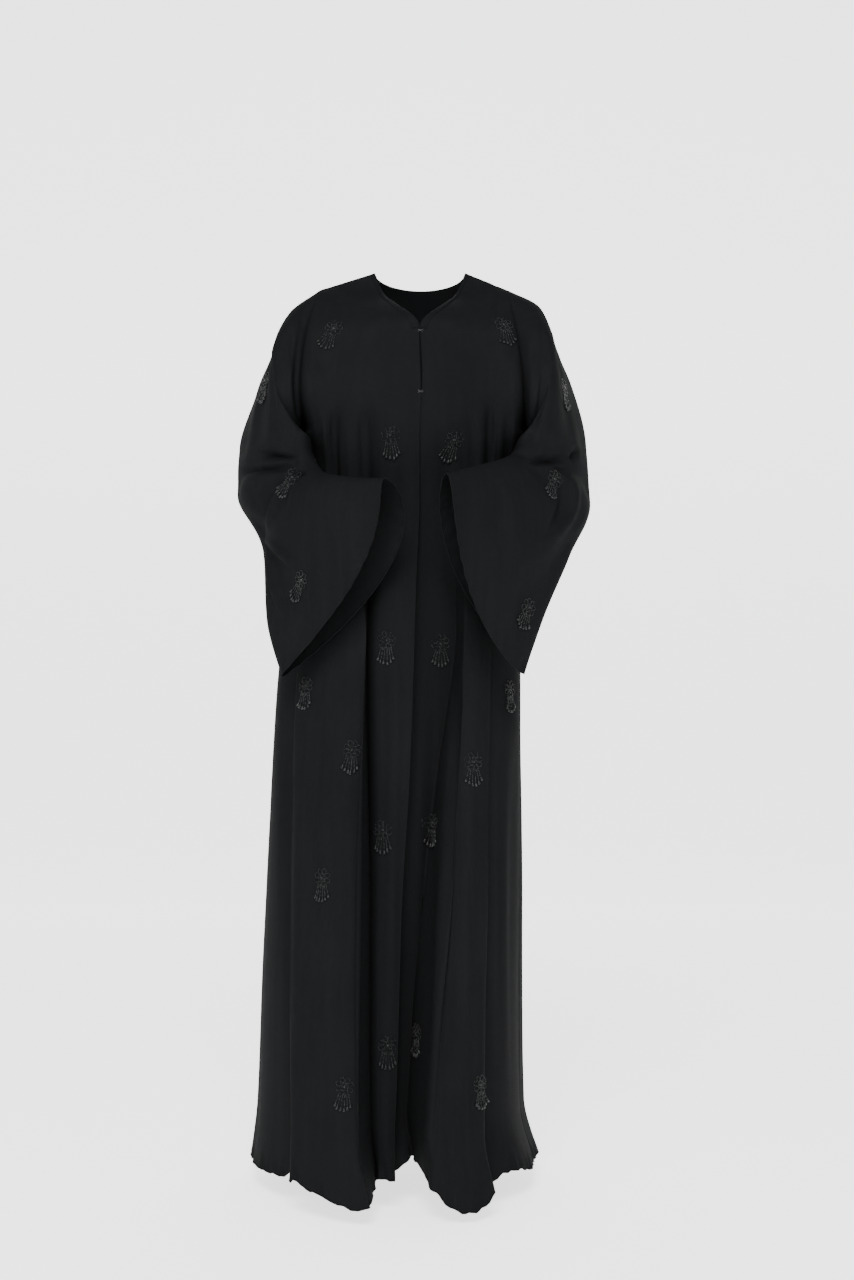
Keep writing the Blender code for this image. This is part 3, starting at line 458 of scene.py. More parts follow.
SKIRT_STROKES = (
    (-0.212, -0.560, -0.208, -0.760, -0.206, -0.980, 0.010, 0.016, 0.0030),
    (-0.196, -0.640, -0.192, -0.860, -0.190, -1.140, 0.010, 0.008, -0.0026),
    (-0.172, -0.600, -0.174, -0.900, -0.172, -1.250, 0.016, 0.010, 0.0026),
    (-0.150, -0.640, -0.152, -0.880, -0.156, -1.180, 0.010, 0.012, -0.0024),
    (-0.132, -0.520, -0.134, -0.760, -0.138, -1.060, 0.009, 0.008, 0.0018),
    (-0.116, -0.560, -0.114, -0.800, -0.112, -1.150, 0.009, 0.010, -0.0020),
    (-0.096, -0.600, -0.094, -0.900, -0.090, -1.240, 0.009, 0.011, 0.0016),
    (-0.052, -0.500, -0.050, -0.760, -0.054, -1.080, 0.006, 0.006, -0.0012),
    (-0.034, -0.560, -0.036, -0.820, -0.042, -1.160, 0.006, 0.007, 0.0012),
    (0.006, -0.560, 0.000, -0.800, -0.006, -1.120, 0.007, 0.007, 0.0020),
    (0.022, -0.640, 0.016, -0.880, 0.010, -1.200, 0.006, 0.008, -0.0020),
    (0.072, -0.620, 0.068, -0.860, 0.062, -1.160, 0.008, 0.010, 0.0014),
    (0.086, -0.700, 0.084, -0.920, 0.080, -1.220, 0.006, 0.008, -0.0014),
    (0.116, -0.600, 0.118, -0.860, 0.118, -1.180, 0.007, 0.008, -0.0022),
    (0.130, -0.660, 0.132, -0.900, 0.132, -1.240, 0.007, 0.008, 0.0018),
    (-0.088, -0.560, -0.088, -0.900, -0.086, -1.320, 0.006, 0.032, -0.0120),
    (0.056, -0.600, 0.034, -0.990, 0.014, -1.330, 0.024, 0.004, -0.0150),
    (0.142, -0.680, 0.146, -0.950, 0.144, -1.300, 0.020, 0.030, -0.0100),
)
BACK_STROKES = (
    (-0.120, -0.060, -0.128, -0.110, -0.150, -0.150, 0.010, 0.007, -0.0026),
    (-0.104, -0.110, -0.118, -0.160, -0.150, -0.196, 0.012, 0.008, 0.0022),
    (0.104, -0.060, 0.116, -0.108, 0.134, -0.150, 0.007, 0.010, -0.0026),
    (0.092, -0.112, 0.106, -0.160, 0.132, -0.196, 0.008, 0.012, 0.0022),
    (-0.110, -0.230, -0.100, -0.360, -0.104, -0.520, 0.012, 0.008, -0.0045),
    (-0.070, -0.260, -0.064, -0.390, -0.070, -0.540, 0.009, 0.012, 0.0035),
    (-0.030, -0.220, -0.028, -0.370, -0.034, -0.560, 0.010, 0.012, -0.0045),
    (0.014, -0.250, 0.018, -0.380, 0.020, -0.520, 0.012, 0.008, 0.0030),
    (0.050, -0.220, 0.052, -0.360, 0.048, -0.540, 0.008, 0.012, -0.0045),
    (0.092, -0.240, 0.088, -0.370, 0.094, -0.520, 0.010, 0.010, -0.0035),
    (-0.150, -0.600, -0.160, -0.850, -0.170, -1.160, 0.012, 0.012, 0.0030),
    (-0.080, -0.640, -0.086, -0.900, -0.094, -1.200, 0.010, 0.014, -0.0030),
    (-0.010, -0.620, -0.012, -0.860, -0.014, -1.180, 0.012, 0.012, -0.0030),
    (0.060, -0.660, 0.064, -0.880, 0.070, -1.180, 0.014, 0.010, 0.0026),
    (0.104, -0.600, 0.110, -0.850, 0.118, -1.160, 0.010, 0.012, -0.0026),
)


def stroke_lift(x, z, strokes):
    """Height of the strokes at the places x, z.

    Each stroke is a parabola through its three places, cut into short steps. The height is a bell
    of the distance from the nearest step, times the sine of the way along the stroke.
    """
    lift = np.zeros_like(x)
    t = np.linspace(0, 1, STROKE_STEPS)
    weights = np.stack([(1 - t) * (1 - 2 * t), 4 * t * (1 - t), t * (2 * t - 1)])
    for x0, z0, x1, z1, x2, z2, left_half, right_half, height in strokes:
        path_x, path_z = weights.T @ (x0, x1, x2), weights.T @ (z0, z1, z2)
        reach = STROKE_REACH * max(left_half, right_half)
        box = (x > path_x.min() - reach) & (x < path_x.max() + reach)
        box &= (z > path_z.min() - reach) & (z < path_z.max() + reach)
        away_x, away_z = x[box][:, None] - path_x, z[box][:, None] - path_z
        square = away_x**2 + away_z**2
        near = square.argmin(axis=1)
        pick = np.arange(len(near))
        way_x, way_z = np.gradient(path_x)[near], np.gradient(path_z)[near]
        step = np.hypot(way_x, way_z)
        along = (away_x[pick, near] * way_x + away_z[pick, near] * way_z) / step
        hand = way_x * away_z[pick, near] - way_z * away_x[pick, near]
        half = left_half + (right_half - left_half) * ease(0.5 - hand / step / (left_half + right_half))
        slip = np.clip(along, -step / 2, step / 2)
        apart = square[pick, near] - slip**2
        place = np.clip(t[near] + slip / step * t[1], 0, 1)
        lift[box] += height * np.sin(np.pi * place) ** SWELL_POWER * np.exp(-apart / half**2)
    return lift


# %% Gathers
# Gathers that fall from the bust: x above, x below, top z, bottom z, half width, depth
GATHERS = np.array([
    (-0.150, -0.158, -0.200, -0.480, 0.008, 0.006),
    (-0.122, -0.128, -0.195, -0.560, 0.008, 0.009),
    (-0.078, -0.074, -0.190, -0.560, 0.013, 0.009),
    (-0.040, -0.038, -0.240, -0.500, 0.011, 0.003),
    (0.036, 0.040, -0.240, -0.500, 0.011, 0.003),
    (0.073, 0.078, -0.200, -0.520, 0.009, 0.005),
    (0.102, 0.104, -0.190, -0.560, 0.008, 0.008),
    (0.126, 0.124, -0.200, -0.500, 0.008, 0.006),
])
GATHER_FADE = 0.050
GATHER_END_FADE = 3 * GATHER_FADE


def gathers(x, z):
    """How far the gathers under the bust draw the front inwards: bells across, faded at both ends."""
    depth = np.zeros_like(x)
    for x_top, x_low, z_top, z_low, half, deep in GATHERS:
        middle = x_top + (x_low - x_top) * (z - z_top) / (z_low - z_top)
        fade = ease((z_top - z) / GATHER_FADE) * ease((z - z_low) / GATHER_END_FADE)
        depth += deep * fade * np.exp(-(((x - middle) / half) ** 2))
    return depth


# %% [markdown]
# ## Small unevenness
#
# No cloth hangs as even as a formula. A sum of a few long waves, with seeded directions, moves
# the surface by a millimetre at most. Near the hem shorter waves join in, because a rolled edge
# takes up a little less cloth than it has and ripples.

# %% Waves
WAVE_LENGTH = 0.190
WAVE_HEIGHT = 0.0014
WAVE_COUNT = 14
WAVE_SHORTEST = 0.4
WAVE_WAY = (1, 1, 0.35)
RIPPLE_PARTS = ((0.5, 1.0), (0.3, 1.63), (0.2, 0.71))


def soft_waves(points, height, seed):
    """A sum of sines of the place, each with its own direction and phase, longer ones higher."""
    draw = np.random.default_rng(seed)
    total = np.zeros(points.shape[:2])
    for _ in range(WAVE_COUNT):
        length = WAVE_LENGTH * draw.uniform(WAVE_SHORTEST, 1.0)
        way = unit(draw.normal(size=3) * WAVE_WAY)
        phase = draw.uniform(0, 2 * np.pi)
        total += length / WAVE_LENGTH * np.sin(points @ way * 2 * np.pi / length + phase)
    return total * height / WAVE_COUNT


def ripple(along, length, seed):
    """Uneven waves of about the given length along an edge, between -1 and 1."""
    draw = np.random.default_rng(seed)
    parts = [
        weight * np.sin(2 * np.pi * along / (length * scale) + draw.uniform(0, 2 * np.pi))
        for weight, scale in RIPPLE_PARTS
    ]
    return sum(parts)


# %% [markdown]
# ## From grids to cloth
#
# A cloth panel is a grid of outer points. A second grid, 0.8 mm further in, is its wrong side,
# and a strip of faces closes the cut edges. All of it goes into one mesh with `foreach_set`. The
# hem is a thin tube that is carried along the panel's edge: a machine-rolled hem is just such a
# cord of cloth and thread.

# %% Meshes
CLOTH = 0.0008
ROLL_RADIUS = 0.0012
EDGE_ROLL_RADIUS = ROLL_RADIUS * 0.7
ROLL_END = 1e-5
ROLL_SIDES = 8


def quads(rows, columns, closed=False):
    """Corner numbers of a grid's faces, four to a face."""
    across = np.arange(columns if closed else columns - 1)
    r, c = np.meshgrid(np.arange(rows - 1), across, indexing="ij")
    a, b = r * columns + c, r * columns + (c + 1) % columns
    return np.stack([a, b, b + columns, a + columns], axis=-1).reshape(-1, 4)


def wall(outer, inner, closed=False):
    """Points and faces of a closed wall between two grids, with its cut edges."""
    rows, columns = outer.shape[:2]
    skin = rows * columns
    faces = quads(rows, columns, closed)
    ends = np.arange(columns if closed else columns - 1)
    following = (ends + 1) % columns
    last = (rows - 1) * columns
    rims = [
        np.stack([following, ends, ends + skin, following + skin], axis=1),
        np.stack([last + ends, last + following, last + following + skin, last + ends + skin], axis=1),
    ]
    if not closed:
        up = np.arange(rows - 1) * columns
        rims.append(np.stack([up, up + columns, up + columns + skin, up + skin], axis=1))
        up = up + columns - 1
        rims.append(np.stack([up + columns, up, up + skin, up + columns + skin], axis=1))
    points = np.concatenate([outer.reshape(-1, 3), inner.reshape(-1, 3)])
    return points, np.concatenate([faces, faces[:, ::-1] + skin, *rims])


def roll(path, out, along, radius, closed=False):
    """A tube along an edge. Its ring is the outward direction times cosine plus the edge's times sine."""
    turn = np.arange(ROLL_SIDES) * 2 * np.pi / ROLL_SIDES
    ring = out[:, None] * np.cos(turn)[:, None] + along[:, None] * np.sin(turn)[:, None]
    rings = path[:, None] + ring * np.asarray(radius).reshape(-1, 1, 1)
    count = len(path)
    if closed:
        rings = np.concatenate([rings, rings[:1]])
        count += 1
    faces = quads(count, ROLL_SIDES, closed=True)
    if closed:
        faces = faces % (len(path) * ROLL_SIDES)
        rings = rings[:-1]
    return rings.reshape(-1, 3), faces[:, ::-1]


def outward(points, faces):
    """The faces, turned round if they enclose a negative volume: the sum of each one's own wedge."""
    a, b, c = (points[faces[:, i]] for i in range(3))
    wedges = np.einsum("ij,ij->i", a, np.cross(b, c)).sum()
    if faces.shape[1] == 4:
        wedges += np.einsum("ij,ij->i", a, np.cross(c, points[faces[:, 3]])).sum()
    return faces[:, ::-1] if wedges < 0 else faces


def as_mesh(name, parts, finish, flat_from=None):
    """One object from closed (points, faces) parts. Faces from part flat_from on are left flat."""
    parts = [(points, outward(points, np.asarray(faces))) for points, faces in parts]
    points = np.concatenate([p for p, f in parts])
    starts = np.cumsum([0] + [len(p) for p, f in parts[:-1]])
    loops, counts = [], []
    for start, (p, f) in zip(starts, parts):
        loops.append((f + start).ravel())
        counts.append(np.full(len(f), f.shape[1]))
    loops, counts = np.concatenate(loops), np.concatenate(counts)
    mesh = bpy.data.meshes.new(name)
    mesh.vertices.add(len(points))
    mesh.vertices.foreach_set("co", points.astype(np.float32).ravel())
    mesh.loops.add(len(loops))
    mesh.loops.foreach_set("vertex_index", loops.astype(np.int32))
    mesh.polygons.add(len(counts))
    loop_starts = np.cumsum(np.concatenate([[0], counts[:-1]]))
    mesh.polygons.foreach_set("loop_start", loop_starts.astype(np.int32))
    mesh.update(calc_edges=True)
    smooth_faces = np.ones(len(counts), bool)
    if flat_from is not None:
        smooth_faces[sum(len(f) for p, f in parts[:flat_from]) :] = False
    mesh.polygons.foreach_set("use_smooth", smooth_faces)
    mesh.materials.append(finish)
    made = bpy.data.objects.new(name, mesh)
    bpy.context.scene.collection.objects.link(made)
    return made


# %% [markdown]
# ## The fronts and the back
#
# A row of a panel is computed all round its own part of the body, from the hem to the shoulder.
# Where the skirt meets the upper part the rows are relaxed a little, so no crease shows there.
# Beside each seam the cloth dips by less than a millimetre, because stitches pull it down. The free
# edge and the hem are rolled.

# %% Sizes of the panels
# Rows and columns of the grids, which lie closer at a panel's edges
FRONT_COLUMNS = 104
BACK_COLUMNS = 118
SKIRT_ROWS = 196
ARM_ROWS = 66
CLOSE_TURNS = (0, 0.003, 0.007, 0.012, 0.018)
CLOSE_HEIGHTS = (0.0, 0.0015, 0.0035, 0.006)
CLOSE_SPARE = 1.3
EVEN_FROM = 0.007
# How far and how wide a seam pulls the cloth down, and how far from it folds begin
SEAM_DEPTH = 0.0007
SEAM_HALF = 0.0022
SEAM_CLEAR = 0.014
# How long, how far up and down and how far from a seam the rows are relaxed
RELAX_TURNS = 70
RELAX_ROWS = 9
RELAX_CLEAR = 0.03
# The row whose middle shows which way a panel faces
SAMPLE_ROW = 5
# How far round to the side a panel's strokes reach, and how fast they fade there
FACE_MARGIN = 0.15
FACE_GAIN = 2


def stations(count, close):
    """Places from 0 to 1, evenly spread, with closer ones at both ends."""
    close = np.array(close)
    even = np.linspace(0, 1, count)
    spare = close[-1] * CLOSE_SPARE
    even = even[(even > spare) & (even < 1 - spare)]
    return np.concatenate([close, even, 1 - close[::-1]])


def from_ends(points):
    """Length along each row from its first column and from its last one."""
    step = np.linalg.norm(np.diff(points, axis=1), axis=-1)
    first = np.concatenate([np.zeros((len(points), 1)), np.cumsum(step, axis=1)], axis=1)
    return first, first[:, -1:] - first


def relaxed(points, row, weight):
    """Rows near a row, moved many times half way to the mean of the rows above and below them."""
    near = np.exp(-(((np.arange(len(points)) - row) / RELAX_ROWS) ** 2))[1:-1, None, None]
    for _ in range(RELAX_TURNS):
        middle = (points[:-2] + points[2:]) / 2
        points[1:-1] += (middle - points[1:-1]) * 0.5 * near * weight[1:-1, :, None]
    return points


# %% [markdown]
# ### Beside the seams and along the free edge
#
# Where a front meets its sleeve the cloth of both stands forward together, so the armhole seam
# lies on a smooth slope and not at the bottom of a valley. Under the arm the side bulges a little.
# Between the two closures the fronts' edges bow apart. Each of these is a bell that fades out into
# the cloth around it, and two pieces that are sewn together move alike along their seam.

# %% Armholes and free edges
# How far the cloth stands forward and half how wide: high and low on the armhole, front and sleeve
FILL_HEIGHT = (0.014, 0.042)
FILL_HALF = (0.034, 0.070)
FILL_DEEPENS = (-0.100, 0.090)
FILL_WIDENS = 0.020
# Where it starts below the shoulder, ends below the underarm and ends towards the side, and fades
FILL_TOP = (-0.050, 0.050)
FILL_END = (-0.300, 0.060)
FILL_SIDE_FADE = 0.024
UNDERARM_BULGE = 0.008
BULGE_Z = (-0.254, 0.020)
BULGE_FADE = 0.004
BULGE_REACH = 0.035
CLOSURES_Z = (-0.093, -0.190)
EDGE_DRIFT = 0.0024
EDGE_BOW = 0.0012
EDGE_REACH = 0.020
DRIFT_SHARE = 0.8
DRIFT_FADE = 0.070
BOW_POWER = 0.6


def valley_fill(points, side):
    """How far cloth near the front of an armhole stands out, so that the seam lies in no deep valley.

    A bell across the armhole's line, wider on the sleeve, eased in below the shoulder and out
    below the underarm.
    """
    x, y, z = (points[..., i] for i in range(3))
    tip, middle, under = ARMHOLE_X[side]
    sin = np.clip(2 * (z - UNDERARM_Z) / (ARMHOLE_TIP_Z - UNDERARM_Z) - 1, -1, 1)
    line = middle + (tip - under) / 2 * sin + (tip + under - 2 * middle) / 2 * sin**2
    fade = ease((FILL_TOP[0] - z) / FILL_TOP[1]) * ease((z - FILL_END[0]) / FILL_END[1])
    fade = fade * ease(-y / FILL_SIDE_FADE)
    outwards = (x - line) * math.copysign(1, middle)
    half = FILL_HALF[0] + (FILL_HALF[1] - FILL_HALF[0]) * ease(0.5 + outwards / FILL_WIDENS)
    low = ease((FILL_DEEPENS[0] - z) / FILL_DEEPENS[1])
    height = FILL_HEIGHT[0] + (FILL_HEIGHT[1] - FILL_HEIGHT[0]) * low
    return height * np.exp(-(((x - line) / half) ** 2)) * fade


def edge_bow(z):
    """Between the two closures the fronts' edges drift a little to the right and bow apart."""
    share = np.clip((CLOSURES_Z[0] - z) / (CLOSURES_Z[0] - CLOSURES_Z[1]), 0, 1)
    drift = ease(share / DRIFT_SHARE) * ease((z - CLOSURES_Z[1] + DRIFT_FADE) / DRIFT_FADE)
    return EDGE_DRIFT * drift, EDGE_BOW * np.sin(np.pi * share) ** BOW_POWER


def shape_front(points, side, free):
    """Gathers, the fill beside the armhole and the bow of the free edge, put on a front's points."""
    points[..., 1] += gathers(points[..., 0], points[..., 2])
    points[..., 1] -= valley_fill(points, side)
    shift, bow = edge_bow(points[..., 2])
    away = -bow if side == "left" else bow
    points[..., 0] += (shift + away) * np.exp(-((free / EDGE_REACH) ** 2))


def shape_underarm(points, sewn):
    """The side's bulge under the arm: a bell of the height, times a bell of the seam's distance."""
    up = points[..., 2]
    bulge = np.exp(-(((up - BULGE_Z[0]) / BULGE_Z[1]) ** 2)) * ease((UNDERARM_Z - up) / BULGE_FADE)
    outwards = np.sign(points[..., 0] - CENTRE_X)
    points[..., 0] += outwards * UNDERARM_BULGE * bulge * np.exp(-((sewn / BULGE_REACH) ** 2))


# %% [markdown]
# ### The hems
#
# A cloak that hangs open doesn't end on one level: each fold carries its own bit of hem up or
# down. The fronts' hemlines are set place by place, and the rise dies out 0.2 m further up.
# On top of that every hem ripples, because its roll holds a little less cloth than it has.

# %% Hems
HEM_REACH = 0.200
HEM_RIPPLE = 0.0021
HEM_RIPPLE_LENGTH = 0.023
HEM_FLARE = 1.6
RIPPLE_HEIGHT = 0.045
RIPPLE_OFFSET = 0.007
# The left front's edge turns over at one place of its hem
CURL = 0.011
CURL_X = -0.080
CURL_HALF = 0.014
CURL_REACH = 0.080
# How far the fronts' hems rise above or fall below their cut line: x at the hem, rise
HEM_RISE = {
    "left": np.array([
        (-0.235, 0.000), (-0.203, 0.001), (-0.190, 0.009), (-0.180, 0.021), (-0.172, 0.017),
        (-0.160, 0.012), (-0.144, 0.008), (-0.128, 0.003), (-0.117, -0.001), (-0.104, -0.004),
        (-0.092, -0.007), (-0.083, -0.003), (-0.074, 0.002), (-0.064, 0.006), (-0.050, 0.008),
        (-0.036, 0.003),
    ]),
    "right": np.array([
        (-0.030, 0.012), (-0.010, 0.024), (0.008, 0.022), (0.020, 0.014), (0.030, 0.008),
        (0.041, -0.004), (0.052, -0.010), (0.066, -0.014), (0.080, -0.014), (0.092, -0.010),
        (0.101, -0.001), (0.110, 0.006), (0.120, 0.011), (0.135, 0.013), (0.152, 0.010),
        (0.166, 0.000),
    ]),
}


def shape_hem(points, side, above_hem):
    """A front's own hemline: its rise and fall, and the place where the left one turns over."""
    places, rises = HEM_RISE[side].T
    rise = smooth(places, rises, np.clip(points[0, :, 0], places[0], places[-1]))
    points[..., 2] += rise * ease(1 - above_hem / HEM_REACH)
    if side == "left":
        curl = np.exp(-(((points[:1, :, 0] - CURL_X) / CURL_HALF) ** 2))
        points[..., 0] += CURL * curl * ease(1 - above_hem / CURL_REACH)


# %% [markdown]
# ### One panel
#
# The parts above come together here. The order matters: the broad shape comes first, because its
# normals say which way the small folds stand out. The normals at the seams are set last, so the
# walls of two sewn pieces meet without a gap.

# %% Panels


def bare_panel(side, columns, share):
    """A panel's points with no small folds, and the row where the skirt meets the upper part."""
    turn = stations(columns, CLOSE_TURNS)
    low = np.linspace(HEM_Z, UNDERARM_Z, SKIRT_ROWS + 1)
    low = np.concatenate([HEM_Z + np.array(CLOSE_HEIGHTS), low[low > HEM_Z + EVEN_FROM]])
    if side == "back":
        high = upper_back(turn, share)
    else:
        high = upper_front(side, turn if side == "right" else 1 - turn, share)
    return np.concatenate([skirt(side, turn, low), high]), len(low) - 1


def seam_normals(points, normals, row, share, seams, facing):
    """The panel's normals, with those at its seams set to the ones that both sewn pieces share."""
    for end in seams:
        where = "left" if points[row, end, 0] < CENTRE_X else "right"
        outward = -1.0 if where == "left" else 1.0
        normals[: row + 1, end] = (outward, 0, 0)
        normals[row:, end] = armhole_normals(where, np.concatenate([[0], share]), facing)
    return normals


def panel(side, columns, seams, strokes, seed):
    """A panel's outer points and normals. seams says at which ends (0, -1) it is sewn to its side."""
    facing = 1 if side == "back" else -1
    share = np.linspace(0, 1, ARM_ROWS + 1)[1:]
    points, row = bare_panel(side, columns, share)
    first, last = from_ends(points)
    sewn = np.full(first.shape, 1.0)
    for end in seams:
        sewn = np.minimum(sewn, first if end == 0 else last)
    points = relaxed(points, row, ease(sewn / RELAX_CLEAR))
    if side != "back":
        shape_front(points, side, last if side == "left" else first)
    shape_underarm(points, sewn)
    normals = grid_normals(points)
    if normals[SAMPLE_ROW, columns // 2, 1] * facing < 0:
        normals = -normals
    toward = ease((normals[..., 1] * facing + FACE_MARGIN) * FACE_GAIN)
    lift = stroke_lift(points[..., 0], points[..., 2], strokes) * toward
    lift += soft_waves(points, WAVE_HEIGHT, seed)
    above_hem = points[..., 2] - points[:1, :, 2]
    if side != "back":
        shape_hem(points, side, above_hem)
    hem = ease(1 - above_hem / RIPPLE_HEIGHT)
    clear = ease(sewn / SEAM_CLEAR)
    lift += ripple(first[0], HEM_RIPPLE_LENGTH, seed) * HEM_RIPPLE * HEM_FLARE * hem**2
    lift *= clear
    lift -= SEAM_DEPTH * np.exp(-((sewn / SEAM_HALF) ** 2))
    points = points + normals * lift[..., None]
    wave = ripple(first[0] + RIPPLE_OFFSET, HEM_RIPPLE_LENGTH, seed + 1)
    points[..., 2] += wave * HEM_RIPPLE * hem * clear
    moved = grid_normals(points)
    normals = moved * np.sign((normals * moved).sum())
    return points, seam_normals(points, normals, row, share, seams, "back" if side == "back" else "front")


def edge_roll(points, normals, radius):
    """The rolled edge along one row or column of a panel, closed to a point at both ends."""
    path = points - normals * CLOTH / 2
    side = unit(np.cross(np.gradient(path, axis=0), normals))
    size = np.full(len(path), radius)
    size[[0, -1]] = ROLL_END
    return roll(path, normals, side, size)


# %% [markdown]
# ## The sleeves
#
# Each sleeve is one closed surface: ring after ring of points, from the armhole to the cuff. The
# forearm is held forward, so the cloth folds sharply in the crook of the elbow and falls in a
# long bell below it. The strokes here follow the creases at the elbow, and the deep groove where
# the sleeve turns in behind the chest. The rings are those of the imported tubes, with two changes
# that the real garment shows: the left forearm's upper edge lies a little lower, and the upper arm
# is squared off.

# %% Sizes of the sleeves
# Rings beyond the armhole, each by four points: front or upper side, outer side, back or lower
# side, side towards the body
RINGS = {
    "left": np.array([
        (-0.190, -0.066, -0.150, -0.195, 0.012, -0.056, -0.192, 0.088, -0.145, -0.175, 0.018, -0.244),
        (-0.208, -0.067, -0.178, -0.216, 0.012, -0.105, -0.210, 0.088, -0.175, -0.177, 0.018, -0.249),
        (-0.196, -0.072, -0.213, -0.243, 0.012, -0.172, -0.224, 0.086, -0.217, -0.178, 0.016, -0.256),
        (-0.180, -0.082, -0.250, -0.264, 0.006, -0.250, -0.238, 0.076, -0.268, -0.178, 0.008, -0.265),
        (-0.172, -0.100, -0.280, -0.266, -0.030, -0.305, -0.245, 0.046, -0.338, -0.178, -0.004, -0.284),
        (-0.140, -0.146, -0.312, -0.205, -0.108, -0.375, -0.228, -0.030, -0.416, -0.160, -0.072, -0.340),
        (-0.096, -0.200, -0.320, -0.152, -0.170, -0.425, -0.222, -0.084, -0.512, -0.108, -0.138, -0.392),
        (-0.048, -0.250, -0.324, -0.085, -0.215, -0.452, -0.198, -0.128, -0.600, -0.040, -0.162, -0.438),
    ]).reshape(-1, 4, 3),
    "right": np.array([
        (0.166, -0.066, -0.150, 0.180, 0.012, -0.048, 0.168, 0.088, -0.145, 0.159, 0.018, -0.244),
        (0.185, -0.067, -0.178, 0.200, 0.012, -0.096, 0.187, 0.088, -0.175, 0.161, 0.018, -0.249),
        (0.176, -0.072, -0.213, 0.226, 0.012, -0.160, 0.204, 0.086, -0.217, 0.162, 0.016, -0.256),
        (0.162, -0.082, -0.250, 0.243, 0.006, -0.244, 0.216, 0.076, -0.268, 0.162, 0.008, -0.265),
        (0.152, -0.100, -0.280, 0.245, -0.030, -0.320, 0.228, 0.046, -0.345, 0.160, -0.004, -0.284),
        (0.124, -0.146, -0.290, 0.196, -0.114, -0.390, 0.214, -0.036, -0.420, 0.144, -0.074, -0.345),
        (0.084, -0.200, -0.304, 0.134, -0.174, -0.445, 0.178, -0.086, -0.512, 0.101, -0.140, -0.400),
        (0.040, -0.250, -0.319, 0.077, -0.215, -0.495, 0.149, -0.124, -0.592, 0.046, -0.162, -0.440),
    ]).reshape(-1, 4, 3),
}
# How square each ring is: the power of its cosine and sine, 1 for a plain oval
RING_POWERS = (0.80, 0.66, 0.62, 0.70, 0.90, 1.0, 1.0, 1.0)

# Degrees round the ring at the fold's start and end, ring there, half width in degrees and in
# rings, depth. A half width of more than one ring marks a fold that runs down the arm.
SLEEVE_FOLDS = {
    "left": (
        (62, 62, 1.6, 4.6, 16, 9.0, 0.006),
        (30, 120, 4.7, 5.0, 90, 0.28, 0.007),
        (20, 100, 5.5, 5.7, 90, 0.25, 0.006),
        (128, 128, 5.2, 7.6, 20, 9.0, 0.008),
    ),
    "right": (
        (66, 66, 1.8, 4.4, 16, 9.0, 0.006),
        (36, 116, 4.6, 4.9, 90, 0.28, 0.006),
        (24, 104, 5.4, 5.6, 90, 0.25, 0.006),
        (120, 120, 5.4, 7.7, 20, 9.0, 0.009),
    ),
}
FADE_RINGS = 0.7
FADE_DEGREES = 25

# %% Strokes of the sleeves
SLEEVE_FRONT_STROKES = {
    "left": (
        (-0.1768, -0.094, -0.1778, -0.180, -0.1700, -0.255, 0.004, 0.006, -0.0050),
        (-0.2138, -0.125, -0.2150, -0.198, -0.2005, -0.275, 0.006, 0.009, -0.0045),
        (-0.1873, -0.088, -0.1880, -0.120, -0.1887, -0.152, 0.004, 0.005, -0.0025),
        (-0.1811, -0.048, -0.1760, -0.070, -0.1660, -0.105, 0.004, 0.006, -0.0020),
        (-0.2300, -0.120, -0.2400, -0.180, -0.2500, -0.240, 0.010, 0.008, 0.0030),
        (-0.2628, -0.294, -0.2218, -0.296, -0.1765, -0.293, 0.004, 0.006, -0.0120),
        (-0.2408, -0.270, -0.2043, -0.280, -0.1722, -0.287, 0.004, 0.005, -0.0105),
        (-0.1861, -0.307, -0.1745, -0.305, -0.1614, -0.304, 0.004, 0.005, -0.0095),
        (-0.1882, -0.311, -0.2270, -0.340, -0.2325, -0.396, 0.005, 0.014, -0.0110),
        (-0.2284, -0.3975, -0.2060, -0.418, -0.1803, -0.444, 0.008, 0.0035, 0.0090),
        (-0.2240, -0.415, -0.2140, -0.463, -0.1963, -0.514, 0.008, 0.0035, 0.0090),
        (-0.1900, -0.330, -0.2000, -0.352, -0.2130, -0.372, 0.005, 0.007, -0.0035),
        (-0.1500, -0.330, -0.1300, -0.400, -0.1180, -0.480, 0.012, 0.012, -0.0030),
        (-0.1100, -0.330, -0.0980, -0.400, -0.0900, -0.460, 0.010, 0.012, 0.0024),
        (-0.1800, -0.460, -0.1660, -0.510, -0.1600, -0.560, 0.010, 0.010, -0.0030),
    ),
    "right": (
        (0.1782, -0.149, 0.1700, -0.222, 0.1440, -0.287, 0.006, 0.004, -0.0050),
        (0.1669, -0.105, 0.1655, -0.128, 0.1640, -0.152, 0.005, 0.004, -0.0025),
        (0.1873, -0.090, 0.1920, -0.130, 0.1902, -0.164, 0.008, 0.008, 0.0030),
        (0.2100, -0.120, 0.2200, -0.180, 0.2280, -0.240, 0.010, 0.009, -0.0030),
        (0.2363, -0.263, 0.2300, -0.272, 0.2216, -0.281, 0.004, 0.005, -0.0085),
        (0.1581, -0.289, 0.1873, -0.288, 0.2165, -0.282, 0.006, 0.004, -0.0115),
        (0.1961, -0.292, 0.2085, -0.298, 0.2209, -0.306, 0.005, 0.004, -0.0095),
        (0.2223, -0.306, 0.2230, -0.355, 0.1929, -0.403, 0.008, 0.005, 0.0080),
        (0.2080, -0.315, 0.2080, -0.355, 0.1800, -0.400, 0.008, 0.007, -0.0080),
        (0.1290, -0.316, 0.1375, -0.385, 0.1475, -0.453, 0.010, 0.010, 0.0030),
        (0.1080, -0.320, 0.1120, -0.390, 0.1200, -0.470, 0.010, 0.010, -0.0030),
        (0.1500, -0.440, 0.1440, -0.500, 0.1400, -0.560, 0.009, 0.009, -0.0026),
    ),
}
